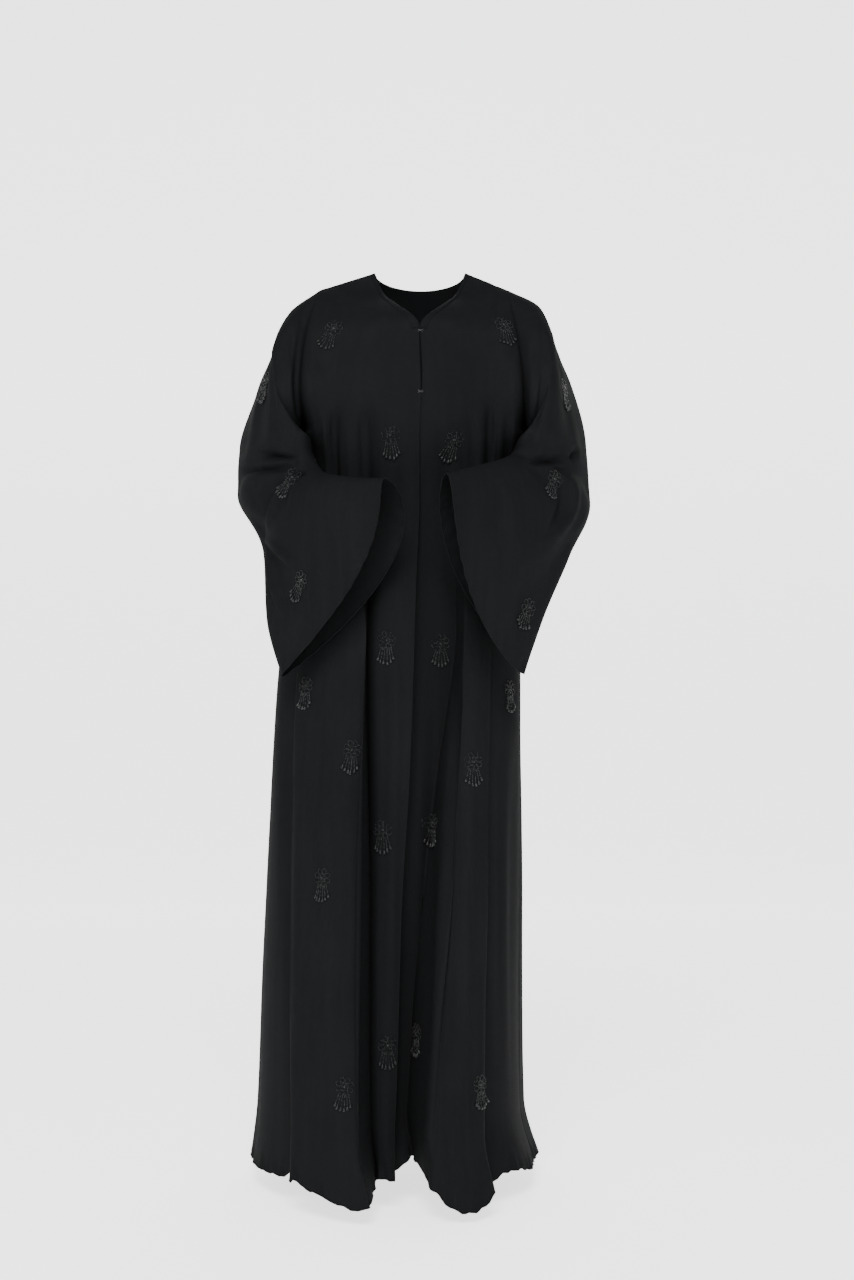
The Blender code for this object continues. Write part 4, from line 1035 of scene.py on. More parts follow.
SLEEVE_BACK_STROKES = {
    "left": (
        (-0.186, -0.090, -0.190, -0.180, -0.184, -0.250, 0.008, 0.010, -0.0060),
        (-0.214, -0.120, -0.222, -0.200, -0.226, -0.270, 0.009, 0.009, -0.0040),
        (-0.256, -0.270, -0.230, -0.300, -0.200, -0.310, 0.007, 0.006, -0.0050),
        (-0.250, -0.310, -0.222, -0.350, -0.200, -0.400, 0.008, 0.010, 0.0040),
        (-0.236, -0.380, -0.214, -0.440, -0.208, -0.520, 0.010, 0.010, -0.0040),
    ),
    "right": (
        (0.166, -0.090, 0.172, -0.180, 0.168, -0.250, 0.010, 0.008, -0.0060),
        (0.196, -0.120, 0.204, -0.200, 0.208, -0.270, 0.009, 0.009, -0.0040),
        (0.236, -0.270, 0.210, -0.302, 0.184, -0.312, 0.006, 0.007, -0.0050),
        (0.230, -0.310, 0.204, -0.350, 0.186, -0.400, 0.010, 0.008, 0.0040),
        (0.206, -0.380, 0.188, -0.440, 0.176, -0.520, 0.010, 0.010, -0.0040),
    ),
}

# %% Sleeves
SLEEVE_COLUMNS = 200
SLEEVE_ROWS = 186
# Rows near the armhole and before the cuff, counted in rings, and the room that even rows leave
CLOSE_RINGS = (0, 0.02, 0.05, 0.09, 0.14)
CUFF_RINGS = (0.05, 0.025, 0.01, 0.0)
EVEN_RINGS = (0.03, 0.08)
CUFF_RIPPLE = 0.0011
CUFF_RIPPLE_LENGTH = 0.026
CUFF_UNEVEN = 0.4
# How far round the sleeve the front's strokes reach, and how far those of the back stay away
FRONT_MARGIN = 0.2
BACK_MARGIN = 0.1
SLEEVE_WAVE_HEIGHT = WAVE_HEIGHT * 1.4


def sleeve_rings(side, count):
    """Rings of points round the sleeve, armhole first.

    A ring is its middle, plus half its height times the cosine, plus half its width times the
    sine, plus a skew times the cosine of twice the angle, so it passes through its four points. A
    power below 1 on the cosine and sine squares the ring off, as the cloth of an upper arm hangs.
    """
    share = np.linspace(0, 1, count // 2 + 1)
    front, back = armhole(side, share, "front"), armhole(side, share[::-1], "back")[1:-1]
    angle = np.radians(np.arange(count) * 360 / count - 90)[:, None]
    cos, sin = np.cos(angle), np.sin(angle)
    power = np.array(RING_POWERS)[:, None, None]
    upper, outer, lower, inner = (RINGS[side][:, i, None, :] for i in range(4))
    own = (
        (upper + outer + lower + inner) / 4
        + (upper - lower) / 2 * np.sign(cos) * np.abs(cos) ** power
        + (outer - inner) / 2 * np.sign(sin) * np.abs(sin) ** power
        + (upper + lower - outer - inner) / 4 * np.cos(2 * angle)
    )
    return np.concatenate([np.concatenate([front, back])[None], own])


def creased(points, normals, at, side):
    """The points with the large folds drawn in along the normals.

    A fold down the arm is a bell of the angle, faded at both ends. A crease round the arm is a
    bell of the distance from a slanting line.
    """
    degrees = np.arange(SLEEVE_COLUMNS) * 360 / SLEEVE_COLUMNS - 90
    ring, turn = np.meshgrid(at, degrees, indexing="ij")
    for first, final, start, end, wide, long, deep in SLEEVE_FOLDS[side]:
        if long > 1:
            along = ease((ring - start) / FADE_RINGS) * ease((end - ring) / FADE_RINGS)
            round_it = np.exp(-(((turn - (first + final) / 2) / wide) ** 2))
        else:
            line = start + (end - start) * (turn - first) / (final - first)
            along = np.exp(-(((ring - line) / long) ** 2))
            fade_in, fade_out = (turn - first) / FADE_DEGREES, (final - turn) / FADE_DEGREES
            round_it = ease(fade_in + 0.5) * ease(fade_out + 0.5)
        points = points - normals * (deep * along * round_it)[..., None]
    return points


def cuff_wave(edge):
    """A whole number of waves round the cuff, three times higher and lower on the way."""
    step = np.linalg.norm(np.roll(edge, -1, axis=0) - edge, axis=-1)
    round_cuff = step.sum()
    along = np.concatenate([[0], np.cumsum(step)[:-1]])
    length = round_cuff / round(round_cuff / CUFF_RIPPLE_LENGTH)
    height = 1 - CUFF_UNEVEN + CUFF_UNEVEN * np.sin(6 * np.pi * along / round_cuff)
    return np.sin(2 * np.pi * along / length) * height


def sleeve(side, seed):
    """A sleeve's outer points and normals, rows from the armhole to the cuff."""
    rings = sleeve_rings(side, SLEEVE_COLUMNS)
    last = len(rings) - 1
    even = np.linspace(0, last, SLEEVE_ROWS)
    even = even[(even > CLOSE_RINGS[-1] + EVEN_RINGS[0]) & (even < last - EVEN_RINGS[1])]
    at = np.concatenate([CLOSE_RINGS, even, last - np.array(CUFF_RINGS)])
    points = smooth(np.arange(last + 1), rings, at)
    points[..., 1] -= valley_fill(points, side)
    normals = grid_normals(points, closed=True)
    middle = points.mean(axis=1, keepdims=True)
    way = 1.0 if ((points - middle) * normals).sum() > 0 else -1.0
    normals = normals * way
    points = creased(points, normals, at, side)
    x, z = points[..., 0], points[..., 2]
    to_front = ease((-normals[..., 1] + FRONT_MARGIN) * FACE_GAIN)
    to_back = ease((normals[..., 1] - BACK_MARGIN) * FACE_GAIN)
    lift = stroke_lift(x, z, SLEEVE_FRONT_STROKES[side]) * to_front
    lift += stroke_lift(x, z, SLEEVE_BACK_STROKES[side]) * to_back
    lift += soft_waves(points, SLEEVE_WAVE_HEIGHT, seed)
    step = np.linalg.norm(np.diff(points, axis=0), axis=-1)
    down = np.concatenate([np.zeros((1, SLEEVE_COLUMNS)), np.cumsum(step, axis=0)])
    cuff = ease(1 - (down[-1:] - down) / RIPPLE_HEIGHT)
    lift += cuff_wave(points[-1]) * CUFF_RIPPLE * cuff**2
    lift *= ease(down / SEAM_CLEAR)
    lift -= SEAM_DEPTH * np.exp(-((down / SEAM_HALF) ** 2))
    share = np.linspace(0, 1, SLEEVE_COLUMNS // 2 + 1)
    across = np.concatenate([
        armhole_normals(side, share, "front"),
        armhole_normals(side, share[::-1], "back")[1:-1],
    ])
    normals[0] = across
    points = points + normals * lift[..., None]
    normals = grid_normals(points, closed=True) * way
    normals[0] = across
    return points, normals


# %% [markdown]
# ## Finishes
#
# A shader is written as sums. `Value` wraps a socket of numbers, so `0.2 + mask * 0.1` adds its
# two Math nodes, and `Finish.node` adds any other node: its type, its settings, then its sockets.

# %% Shader helpers


class Value:
    """A socket of numbers whose operators add Math nodes."""

    def __init__(self, finish, socket):
        self.finish = finish
        self.socket = socket

    def math(self, operation, first, second):
        """A Math node on two numbers or values."""
        return self.finish.node("ShaderNodeMath", {"operation": operation}, {0: first, 1: second})

    def __add__(self, other):
        return self.math("ADD", self, other)

    __radd__ = __add__

    def __mul__(self, other):
        return self.math("MULTIPLY", self, other)

    __rmul__ = __mul__


class Finish:
    """A material whose nodes are added by one method."""

    def __init__(self, name, roughness, constants):
        self.material = bpy.data.materials.new(name)
        self.material.use_nodes = True
        self.tree = self.material.node_tree
        self.shader = self.tree.nodes["Principled BSDF"]
        self.shader.inputs["Roughness"].default_value = roughness
        for socket, value in constants.items():
            self.shader.inputs[socket].default_value = value

    def node(self, kind, settings=None, sockets=None, output=0):
        """A new node. Settings are set first, then numbers or links go to its sockets."""
        made = self.tree.nodes.new(kind)
        for key, value in (settings or {}).items():
            setattr(made, key, value)
        for key, value in (sockets or {}).items():
            self.put(made.inputs[key], value)
        return Value(self, made.outputs[output])

    def put(self, socket, value):
        """A link from a value, or a plain number or colour."""
        if isinstance(value, Value):
            self.tree.links.new(value.socket, socket)
        else:
            socket.default_value = value

    def drive(self, socket, value):
        """A value or colour into one of the shader's own sockets."""
        self.put(self.shader.inputs[socket], value)

    def place(self):
        """The place on the piece, in metres: Object coordinates."""
        return self.node("ShaderNodeTexCoord", output=3)

    def noise(self, place, scale, detail=2.0, rough=0.5):
        """Noise from 0 to 1 at a place."""
        sockets = {"Vector": place, "Scale": scale, "Detail": detail, "Roughness": rough}
        return self.node("ShaderNodeTexNoise", {"noise_dimensions": "3D"}, sockets)

    def ramp(self, mask, dark, light, low=0.0, high=1.0):
        """A colour between two, as the mask goes from low to high."""
        made = self.tree.nodes.new("ShaderNodeValToRGB")
        for stop, at, colour in zip(made.color_ramp.elements, (low, high), (dark, light)):
            stop.position = at
            stop.color = (*colour, 1)
        self.put(made.inputs[0], mask)
        return Value(self, made.outputs[0])

    def bump(self, height, distance):
        """Grain from a height between 0 and 1, which stands for the distance in metres."""
        sockets = {"Height": height, "Distance": distance, "Strength": 1.0}
        self.drive("Normal", self.node("ShaderNodeBump", None, sockets))


# %% [markdown]
# ### Crepe
#
# Crepe is woven from hard-twisted yarns that shrink unevenly, so its face is matt and pebbled,
# about half a millimetre from pebble to pebble. Two noises make the pebbles, and a stretched one
# makes the faint upright streaks that the hanging cloth shows. The black isn't quite even: dye
# and wear change it a little. Twisted yarns scatter light every way, so the cloth has next
# to no gloss, and its edges don't brighten where it turns away.

# %% Crepe
PEBBLE_SCALE = 1500
YARN_SCALE = 3400
STREAK_SCALE = 95
SHADE_SCALE = 6
STREAK_STRETCH = (1, 1, 0.035)
CREPE_GLOSS = 0.02


def crepe(name, dark, light, roughness, pebble_depth):
    """Matt pebbled black cloth."""
    finish = Finish(name, roughness, {"Specular IOR Level": CREPE_GLOSS})
    place = finish.place()
    streak_place = finish.node("ShaderNodeMapping", None, {"Vector": place, "Scale": STREAK_STRETCH})
    pebbles = finish.noise(place, PEBBLE_SCALE, 3.0, 0.6)
    yarns = finish.noise(place, YARN_SCALE, 1.0)
    streaks = finish.noise(streak_place, STREAK_SCALE, 3.0, 0.55)
    shade = finish.noise(place, SHADE_SCALE, 3.0)
    mask = pebbles * 0.35 + streaks * 0.28 + shade * 0.37
    finish.drive("Base Color", finish.ramp(mask, dark, light, 0.35, 0.65))
    finish.drive("Roughness", roughness - 0.10 + pebbles * 0.12 + shade * 0.08)
    finish.bump(pebbles * 0.65 + yarns * 0.25 + streaks * 0.10, pebble_depth)
    return finish.material


black_crepe = crepe("black_crepe", (0.0052, 0.0055, 0.0059), (0.0073, 0.0077, 0.0082), 0.84, 0.00022)
# The neck band is the same crepe, painted about 8 % darker. This is painted shade that keeps the raised
# band from catching light as a bright line. Its lower roughness and finer pebbles are the pressed band's
# own.
band_crepe_painted_shade = crepe("black_crepe_band", (0.0048, 0.0051, 0.0055), (0.0068, 0.0072, 0.0077), 0.80, 0.00018)
print("cloth finishes:", black_crepe.name, band_crepe_painted_shade.name)

# %% [markdown]
# ### Beads and metal
#
# The beads are black glass: dark inside, with sharp small glints. Each bead differs a little, so
# a cell pattern as fine as the beads varies the black and the gloss. The hooks are darkened
# steel wire with fine wear on its bends.

# %% Beads and metal
BEAD_CELLS = 620
SCRATCH_SCALE = 900
BEAD_COLOURS = ((0.008, 0.0084, 0.0088), (0.026, 0.0268, 0.0276))
METAL_COLOURS = ((0.030, 0.030, 0.032), (0.085, 0.085, 0.088))


def glass_beads():
    """Black glass beads, each with its own slight shade."""
    constants = {"Specular IOR Level": 0.16, "Coat Weight": 0.05, "Coat Roughness": 0.12}
    finish = Finish("black_beads", 0.26, constants)
    place = finish.place()
    cells = finish.node(
        "ShaderNodeTexVoronoi", {"feature": "F1"}, {"Vector": place, "Scale": BEAD_CELLS}, output=1
    )
    one = finish.node("ShaderNodeSeparateColor", None, {"Color": cells})
    finish.drive("Base Color", finish.ramp(one, *BEAD_COLOURS, 0.3, 1.0))
    finish.drive("Roughness", 0.20 + one * 0.14)
    finish.bump(finish.noise(place, SCRATCH_SCALE), 0.00004)
    return finish.material


def wire_metal():
    """Darkened steel wire, worn brighter in fine patches."""
    finish = Finish("dark_metal", 0.28, {"Metallic": 1.0})
    place = finish.place()
    wear = finish.noise(place, SCRATCH_SCALE, 4.0, 0.6)
    finish.drive("Base Color", finish.ramp(wear, *METAL_COLOURS, 0.35, 0.7))
    finish.drive("Roughness", 0.20 + wear * 0.16)
    finish.bump(wear, 0.00003)
    return finish.material


black_beads = glass_beads()
dark_metal = wire_metal()
print("trim finishes:", black_beads.name, dark_metal.name)

# %% [markdown]
# ## Sewing the cloth up
# Now every panel is computed, given its thickness, rolled at its free edges and put in the place
# of its imported node. A sleeve stands for three packed tubes. Once the neck band is made, each
# panel is declared as a sheet, with the size it was cut to and the pieces sewn to it.


def finished(made, slot, *nodes):
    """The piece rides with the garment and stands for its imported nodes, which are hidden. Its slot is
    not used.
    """
    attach(made, "root")
    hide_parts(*nodes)
    return made


cloth = {}
for name, columns, seams, strokes, seed in (
    ("front_left", FRONT_COLUMNS, (0,), CHEST_STROKES + SKIRT_STROKES, 5),
    ("front_right", FRONT_COLUMNS, (-1,), CHEST_STROKES + SKIRT_STROKES, 6),
    ("back", BACK_COLUMNS, (0, -1), BACK_STROKES, 7),
):
    side = name.removeprefix("front_")
    points, normals = panel(side, columns, seams, strokes, seed)
    parts = [wall(points, points - normals * CLOTH), edge_roll(points[0], normals[0], ROLL_RADIUS)]
    if side != "back":
        free = -1 if side == "left" else 0
        parts.append(edge_roll(points[:, free], normals[:, free], EDGE_ROLL_RADIUS))
    made = as_mesh(name + "_cloth", parts, black_crepe)
    cloth[name] = finished(made, "crepe", name)
    print(name, len(made.data.polygons), "faces, hem", round(from_ends(points)[0][0, -1], 3), "m")

for side, seed in (("left", 11), ("right", 12)):
    points, normals = sleeve(side, seed)
    path = points[-1] - normals[-1] * CLOTH / 2
    down = unit(points[-1] - points[-3])
    rolled = roll(path, normals[-1], down, np.full(len(path), ROLL_RADIUS), closed=True)
    parts = [wall(points, points - normals * CLOTH, closed=True), rolled]
    made = as_mesh(f"sleeve_{side}_cloth", parts, black_crepe)
    tubes = [f"sleeve_{side}{part}" for part in ("", "_middle", "_bell")]
    cloth["sleeve_" + side] = finished(made, "crepe", *tubes)
    round_cuff = np.linalg.norm(np.roll(path, -1, axis=0) - path, axis=-1).sum()
    print("sleeve", side, len(made.data.polygons), "faces, cuff", round(round_cuff, 3), "m round")

# %% [markdown]
# ## The neck band
#
# A narrow strip is turned over the raw edge of the neck and stitched down near its outer edge.
# It is the neck's own surface again, on a fine grid, lifted by a rounded profile with a dip where
# the topstitching runs.

# %% Neck band
# Its width as a share of a front's turn and of the back's height, and where it starts
BAND_TURN = 1 / 18
BAND_SHARE = 0.9
BAND_FROM = 0.5
BAND_LIFT = 0.0002
BAND_PROFILE = np.array([0.3, 0.75, 0.95, 1.0, 1.0, 1.0, 0.98, 0.92, 0.62, 0.9, 0.85, 0.3])
BAND_THICK = 0.0011
BAND_ROWS = 90
BAND_OVER = CLOTH * 0.2
BAND_FOOT = 0.0003


def band_grid(side):
    """The band's foot on the cloth and its normals: rows along the neck, columns across the band."""
    across = np.linspace(0, 1, len(BAND_PROFILE))
    if side == "back":
        turn = np.linspace(SHOULDER_TURN, 1 - SHOULDER_TURN, BAND_ROWS)
        share = 1 - (1 - BAND_SHARE) * across[::-1]
        points = upper_back(turn, share).transpose(1, 0, 2)[:, ::-1]
    else:
        share = np.linspace(BAND_FROM, 1, BAND_ROWS)
        points = upper_front(side, across * BAND_TURN, share)
    normals = grid_normals(points)
    facing = 1 if side == "back" else -1
    if (normals[..., 1] * facing + normals[..., 2]).sum() < 0:
        normals = -normals
    return points, normals


for side in ("left", "right", "back"):
    foot, normals = band_grid(side)
    shift = 0 if side == "back" else BAND_OVER
    top = foot + normals * (BAND_LIFT + shift + BAND_THICK * BAND_PROFILE)[None, :, None]
    low = foot - normals * BAND_FOOT
    # The band wears the copy of the crepe that is painted darker (painted shade).
    made = as_mesh(f"neck_band_{side}_trim", [wall(top, low)], band_crepe_painted_shade)
    cloth["neck_band_" + side] = finished(made, "band", "neck_band_" + side)

# %% [markdown]
# ## Beaded flowers
#
# A flower is embroidered from seed beads: eight looped petals round a faceted crystal, a short
# bar below it, and six strands of bugle and seed beads that end in drops. Two numbers place a
# bead on the flower: how far across it lies and how far down. The beads are a few turned shapes
# set down as arrays, because more than a hundred and fifty of them make one flower.

# %% Bead shapes


def turned(columns, profile):
    """A bead turned on its own axis: points and triangles of a (radius, height) profile, poles closed."""
    angle = np.arange(columns) * 2 * np.pi / columns
    radius, height = np.array(profile, float).T
    body = np.stack([
        radius[1:-1, None] * np.cos(angle),
        radius[1:-1, None] * np.sin(angle),
        height[1:-1, None] + 0 * angle,
    ], axis=-1).reshape(-1, 3)
    points = np.concatenate([[[0, 0, height[0]]], body, [[0, 0, height[-1]]]])
    k = np.arange(columns)
    after = (k + 1) % columns
    square = quads(len(profile) - 2, columns, closed=True) + 1
    top = len(points) - 1
    first = np.stack([0 * k, after + 1, k + 1], axis=1)
    last = np.stack([top + 0 * k, top - columns + k, top - columns + after], axis=1)
    return points, np.concatenate([first, square[:, :3], square[:, [0, 2, 3]], last])


def round_profile(rings):
    """A half circle's profile, pole to pole."""
    angle = np.linspace(-np.pi / 2, np.pi / 2, rings + 2)
    return np.stack([np.cos(angle), np.sin(angle)], axis=1)


SEED = turned(6, round_profile(3))
BUGLE = turned(6, ((0, -1), (0.75, -1), (1, -0.9), (1, 0.9), (0.75, 1), (0, 1)))
DROP = turned(8, ((0, -1), (0.28, -0.82), (0.62, -0.2), (1, 0.38), (0.82, 0.78), (0, 1)))


def strung(shape, across, down, out, lean, radius, half):
    """Copies of a bead shape. Its axis lies in the flower's plane, lean radians from straight down."""
    points, faces = shape
    count = len(across)
    lean, radius, half = (np.broadcast_to(v, count)[:, None] for v in (lean, radius, half))
    x, y, z = points[:, 0] * radius, points[:, 1] * radius, points[:, 2] * half
    made = np.stack([
        across[:, None] + x * np.cos(lean) + z * np.sin(lean),
        down[:, None] - x * np.sin(lean) + z * np.cos(lean),
        out[:, None] + y,
    ], axis=-1)
    starts = np.arange(count)[:, None, None] * len(points)
    return made.reshape(-1, 3), (faces[None] + starts).reshape(-1, 3)


# %% [markdown]
# A petal is a loop: an oval whose two half widths are beads apart, pointing away from the centre.
# The strands lean outwards a little more towards the sides, and the middle ones are the longest.

# %% A flower's layout
PETALS = 8
PETAL_BEADS = 15
PETAL_MIDDLE = 0.0093
PETAL_HALF = (0.0041, 0.0031)
SEED_RADIUS = 0.00066
CRYSTAL_RADIUS = 0.0024
RING_BEADS = 12
RING_RADIUS = 0.0037
BAR_BEADS = 11
BAR_HALF = 0.0082
BAR_DOWN = 0.0101
STRAND_TOP = 0.0109
STRAND_LENGTHS = (0.0190, 0.0225, 0.0245, 0.0250, 0.0220, 0.0180)
STRAND_FAN = 16.0
STRAND_SPREAD = 0.0073
DROP_HALF = (0.0019, 0.0034)
BUGLE_HALF = (0.00062, 0.0018)
STRAND_STEP = 0.0052
BUGLE_AT = 0.42
SEED_AT = 0.90
# How much petals and strands differ by chance: degrees, and shares of their size
PETAL_TURN = 1.6
PETAL_CHANCE = (0.04, 0.05)
STRAND_TURN = 1.5
STRAND_CHANCE = 0.02
PETAL_POINT = 0.25


def flower_beads(seed):
    """Rows of seeds, bugles and drops: across, down, lean, radius and half length of each bead."""
    draw = np.random.default_rng(seed)
    loop = np.arange(PETAL_BEADS) * 2 * np.pi / PETAL_BEADS
    seeds, bugles, drops = [], [], []
    for k in range(PETALS):
        way = math.radians(360 / PETALS * (k + 0.5) + draw.normal(0, PETAL_TURN))
        reach = PETAL_MIDDLE + PETAL_HALF[0] * draw.normal(1, PETAL_CHANCE[0]) * np.cos(loop)
        aside = PETAL_HALF[1] * draw.normal(1, PETAL_CHANCE[1]) * np.sin(loop)
        aside = aside * (1 + PETAL_POINT * np.cos(loop))
        seeds.append(np.stack([
            reach * math.cos(way) - aside * math.sin(way),
            reach * math.sin(way) + aside * math.cos(way),
        ], axis=1))
    ring = np.arange(RING_BEADS) * 2 * np.pi / RING_BEADS
    seeds.append(RING_RADIUS * np.stack([np.cos(ring), np.sin(ring)], axis=1))
    bar = np.linspace(-BAR_HALF, BAR_HALF, BAR_BEADS)
    seeds.append(np.stack([bar, BAR_DOWN - 4 * bar**2], axis=1))
    for share, length in zip(np.linspace(1, -1, len(STRAND_LENGTHS)), STRAND_LENGTHS):
        lean = math.radians(STRAND_FAN * share + draw.normal(0, STRAND_TURN))
        root = np.array([share * STRAND_SPREAD, STRAND_TOP])
        way = np.array([math.sin(lean), math.cos(lean)])
        free = length * draw.normal(1, STRAND_CHANCE) - 2 * DROP_HALF[1]
        count = round(free / STRAND_STEP)
        step = free / count
        for i in range(count):
            at = root + way * (i + BUGLE_AT) * step
            bugles.append((*at, lean))
            seeds.append([root + way * (i + SEED_AT) * step])
        drops.append((*(root + way * (free + DROP_HALF[1])), lean))
    return np.concatenate(seeds), np.array(bugles), np.array(drops)


def crystal():
    """A faceted stone of rings of eight corners. Its faces share no corner, so each stays flat."""
    points, faces = turned(8, ((0, 0.0), (0.92, 0.05), (1.0, 0.45), (0.62, 0.95), (0, 1.0)))
    return points[faces].reshape(-1, 3), np.arange(faces.size).reshape(-1, 3)


# %% [markdown]
# ### Sewing the flowers on
#
# A ray from the front (or the back) finds the cloth at each flower's place. Rays over a small
# grid then measure the cloth's height under the flower, and every bead is lifted by the height
# below it. So a flower follows the fold that it is sewn to, and no bead floats or sinks.

# %% Places of the flowers
# x, z, lean in degrees
FRONT_FLOWERS = (
    (-0.126, -0.091, -22), (0.123, -0.084, 6), (-0.228, -0.165, 10), (0.213, -0.174, -6),
    (-0.042, -0.252, 2), (0.050, -0.258, -18), (-0.184, -0.312, -38), (0.197, -0.313, -34),
    (-0.169, -0.462, -34), (0.156, -0.501, -30), (-0.048, -0.548, 0), (0.030, -0.552, 0),
    (-0.165, -0.614, 4), (0.132, -0.620, 0), (0.077, -0.722, 0), (-0.096, -0.704, -6),
    (-0.053, -0.820, 0), (0.020, -0.814, 0), (-0.139, -0.886, 2), (-0.046, -1.128, 0),
    (-0.004, -1.115, 0), (-0.105, -1.175, -4), (0.086, -1.178, 4),
)
BACK_FLOWERS = (
    (-0.090, -0.150, 8), (0.070, -0.210, -6), (-0.030, -0.400, 0), (-0.130, -0.560, 6),
    (0.095, -0.640, -4), (-0.050, -0.790, 0), (0.030, -0.960, 4), (-0.150, -0.980, -5),
    (0.100, -1.120, 0), (-0.060, -1.190, 6),
)
FAR = 1.0
STEP_OUT = 0.010
FIELD_ACROSS = np.linspace(-0.0165, 0.0165, 10)
FIELD_DOWN = np.linspace(-0.0165, 0.0385, 16)
FIELD_START = 0.014
FLOWER_SEED = 100
BEAD_CLEAR = 0.0001
DROP_SUNK = 0.8
CRYSTAL_HEIGHT = 0.9

# %% Finding the cloth
graph = bpy.context.evaluated_depsgraph_get()
trees = [BVHTree.FromObject(made, graph) for name, made in cloth.items() if "band" not in name]


def met(start, way, reach=10.0):
    """The nearest cloth along a ray: its distance, place and normal, or nothing."""
    hits = [tree.ray_cast(start, way, reach) for tree in trees]
    hits = [(hit[3], hit[0], hit[1]) for hit in hits if hit[0] is not None]
    return min(hits, key=lambda hit: hit[0]) if hits else None


def seat(x, z, facing):
    """Where the cloth is met at x, z from the front (1) or the back (-1), and its mean normal there."""
    start, ray = Vector((x, -FAR * facing, z)), Vector((0, facing, 0))
    point = met(start, ray)[1]
    around = Vector()
    for dx in (-STEP_OUT, 0, STEP_OUT):
        for dz in (-STEP_OUT, 0, STEP_OUT):
            near = met(start + Vector((dx, 0, dz)), ray)
            if near and (near[1] - point).length < 3 * STEP_OUT:
                around += near[2] if near[2].y * facing < 0 else -near[2]
    return point, around.normalized()


def flower_frame(x, z, lean, facing):
    """The flower's centre and its three directions: across, down and out."""
    point, out = seat(x, z, facing)
    down = (Vector((0, 0, -1)) + out * out.z).normalized()
    across = down.cross(out)
    angle = math.radians(lean)
    side = across * math.cos(angle) + down * math.sin(angle)
    return point, side, down * math.cos(angle) - across * math.sin(angle), out


def field(point, side, down, out):
    """Heights of the cloth over the flower's plane on a grid, rows down. Gaps take the mean height."""
    heights = np.full((len(FIELD_DOWN), len(FIELD_ACROSS)), np.nan)
    for i, b in enumerate(FIELD_DOWN):
        for j, a in enumerate(FIELD_ACROSS):
            hit = met(point + side * a + down * b + out * FIELD_START, -out, 2 * FIELD_START)
            if hit:
                heights[i, j] = (hit[1] - point).dot(out)
    heights = np.where(np.isnan(heights), np.nanmean(heights), heights)
    around = np.pad(heights, 1, mode="edge")
    rows, columns = heights.shape
    shifted = [around[i : i + rows, j : j + columns] for i in range(3) for j in range(3)]
    return np.maximum(heights, np.mean(shifted, axis=0))


def height_at(heights, across, down):
    """The grid's height between its places: the mean of the four around, by nearness."""
    u = np.interp(across, FIELD_ACROSS, np.arange(len(FIELD_ACROSS)))
    v = np.interp(down, FIELD_DOWN, np.arange(len(FIELD_DOWN)))
    j = np.minimum(u.astype(int), len(FIELD_ACROSS) - 2)
    i = np.minimum(v.astype(int), len(FIELD_DOWN) - 2)
    u, v = u - j, v - i
    upper = heights[i, j] * (1 - u) + heights[i, j + 1] * u
    return upper * (1 - v) + (heights[i + 1, j] * (1 - u) + heights[i + 1, j + 1] * u) * v


# %% Sew the flowers on


def flower(name, x, z, lean, facing, seed):
    """One flower of beads on the cloth."""
    point, side, down, out = flower_frame(x, z, lean, facing)
    heights = field(point, side, down, out)
    seeds, bugles, drops = flower_beads(seed)
    frame_rows = np.array([side, down, out])

    def lifted(a, b, radius):
        return height_at(heights, a, b) + radius + BEAD_CLEAR

    a, b = seeds.T
    parts = [strung(SEED, a, b, lifted(a, b, SEED_RADIUS), 0.0, SEED_RADIUS, SEED_RADIUS)]
    a, b, tilt = bugles.T
    parts.append(strung(BUGLE, a, b, lifted(a, b, BUGLE_HALF[0]), tilt, *BUGLE_HALF))
    a, b, tilt = drops.T
    parts.append(strung(DROP, a, b, lifted(a, b, DROP_HALF[0] * DROP_SUNK), tilt, *DROP_HALF))
    points, faces = crystal()
    stone = points * (CRYSTAL_RADIUS, CRYSTAL_RADIUS, CRYSTAL_RADIUS * CRYSTAL_HEIGHT)
    stone[:, 2] += height_at(heights, np.zeros(1), np.zeros(1))[0]
    parts.append((stone, faces))
    placed = [(np.array(point) + p @ frame_rows, f) for p, f in parts]
    made = as_mesh(name + "_beads", placed, black_beads, flat_from=3)
    return finished(made, "beads", name)


places = [(*row, 1) for row in FRONT_FLOWERS] + [(*row, -1) for row in BACK_FLOWERS]
flowers = [
    flower(f"applique_{i:02d}", x, z, lean, facing, FLOWER_SEED + i)
    for i, (x, z, lean, facing) in enumerate(places, 1)
]
print(len(flowers), "flowers,", len(flowers[0].data.polygons), "faces each")

# %% [markdown]
# ## The two hooks and eyes
#
# Each closure is bent from wire. The eye is a ring on the right front. The hook is a long loop on
# the left front whose nose reaches over the ring, with two small sewing loops at its foot.

# %% Closures
WIRE_RADIUS = 0.00032
EYE_RADIUS = 0.0014
HOOK_HALF = (0.0020, 0.0008)
SEWING_RADIUS = 0.0007
WIRE_STEPS = 40
WIRE_CLEAR = 0.0004
NOSE_BACK = 0.0024
NOSE_BOW = 0.0004
FOOT_BACK = 0.0026
FOOT_APART = 0.0013


def wire_loop(centre, across, down, out, half_across, half_down, bow=0.0):
    """A closed wire: an oval in the plane of across and down, its middle raised by the bow."""
    angle = np.arange(WIRE_STEPS) * 2 * np.pi / WIRE_STEPS
    cos, sin = np.cos(angle)[:, None], np.sin(angle)[:, None]
    path = centre + across * half_across * cos + down * half_down * sin + out * bow * (1 - cos**2)
    along = unit(np.roll(path, -1, axis=0) - np.roll(path, 1, axis=0))
    side = unit(np.cross(along, out))
    lift = np.cross(side, along)
    return roll(path, lift, side, np.full(WIRE_STEPS, WIRE_RADIUS), closed=True)


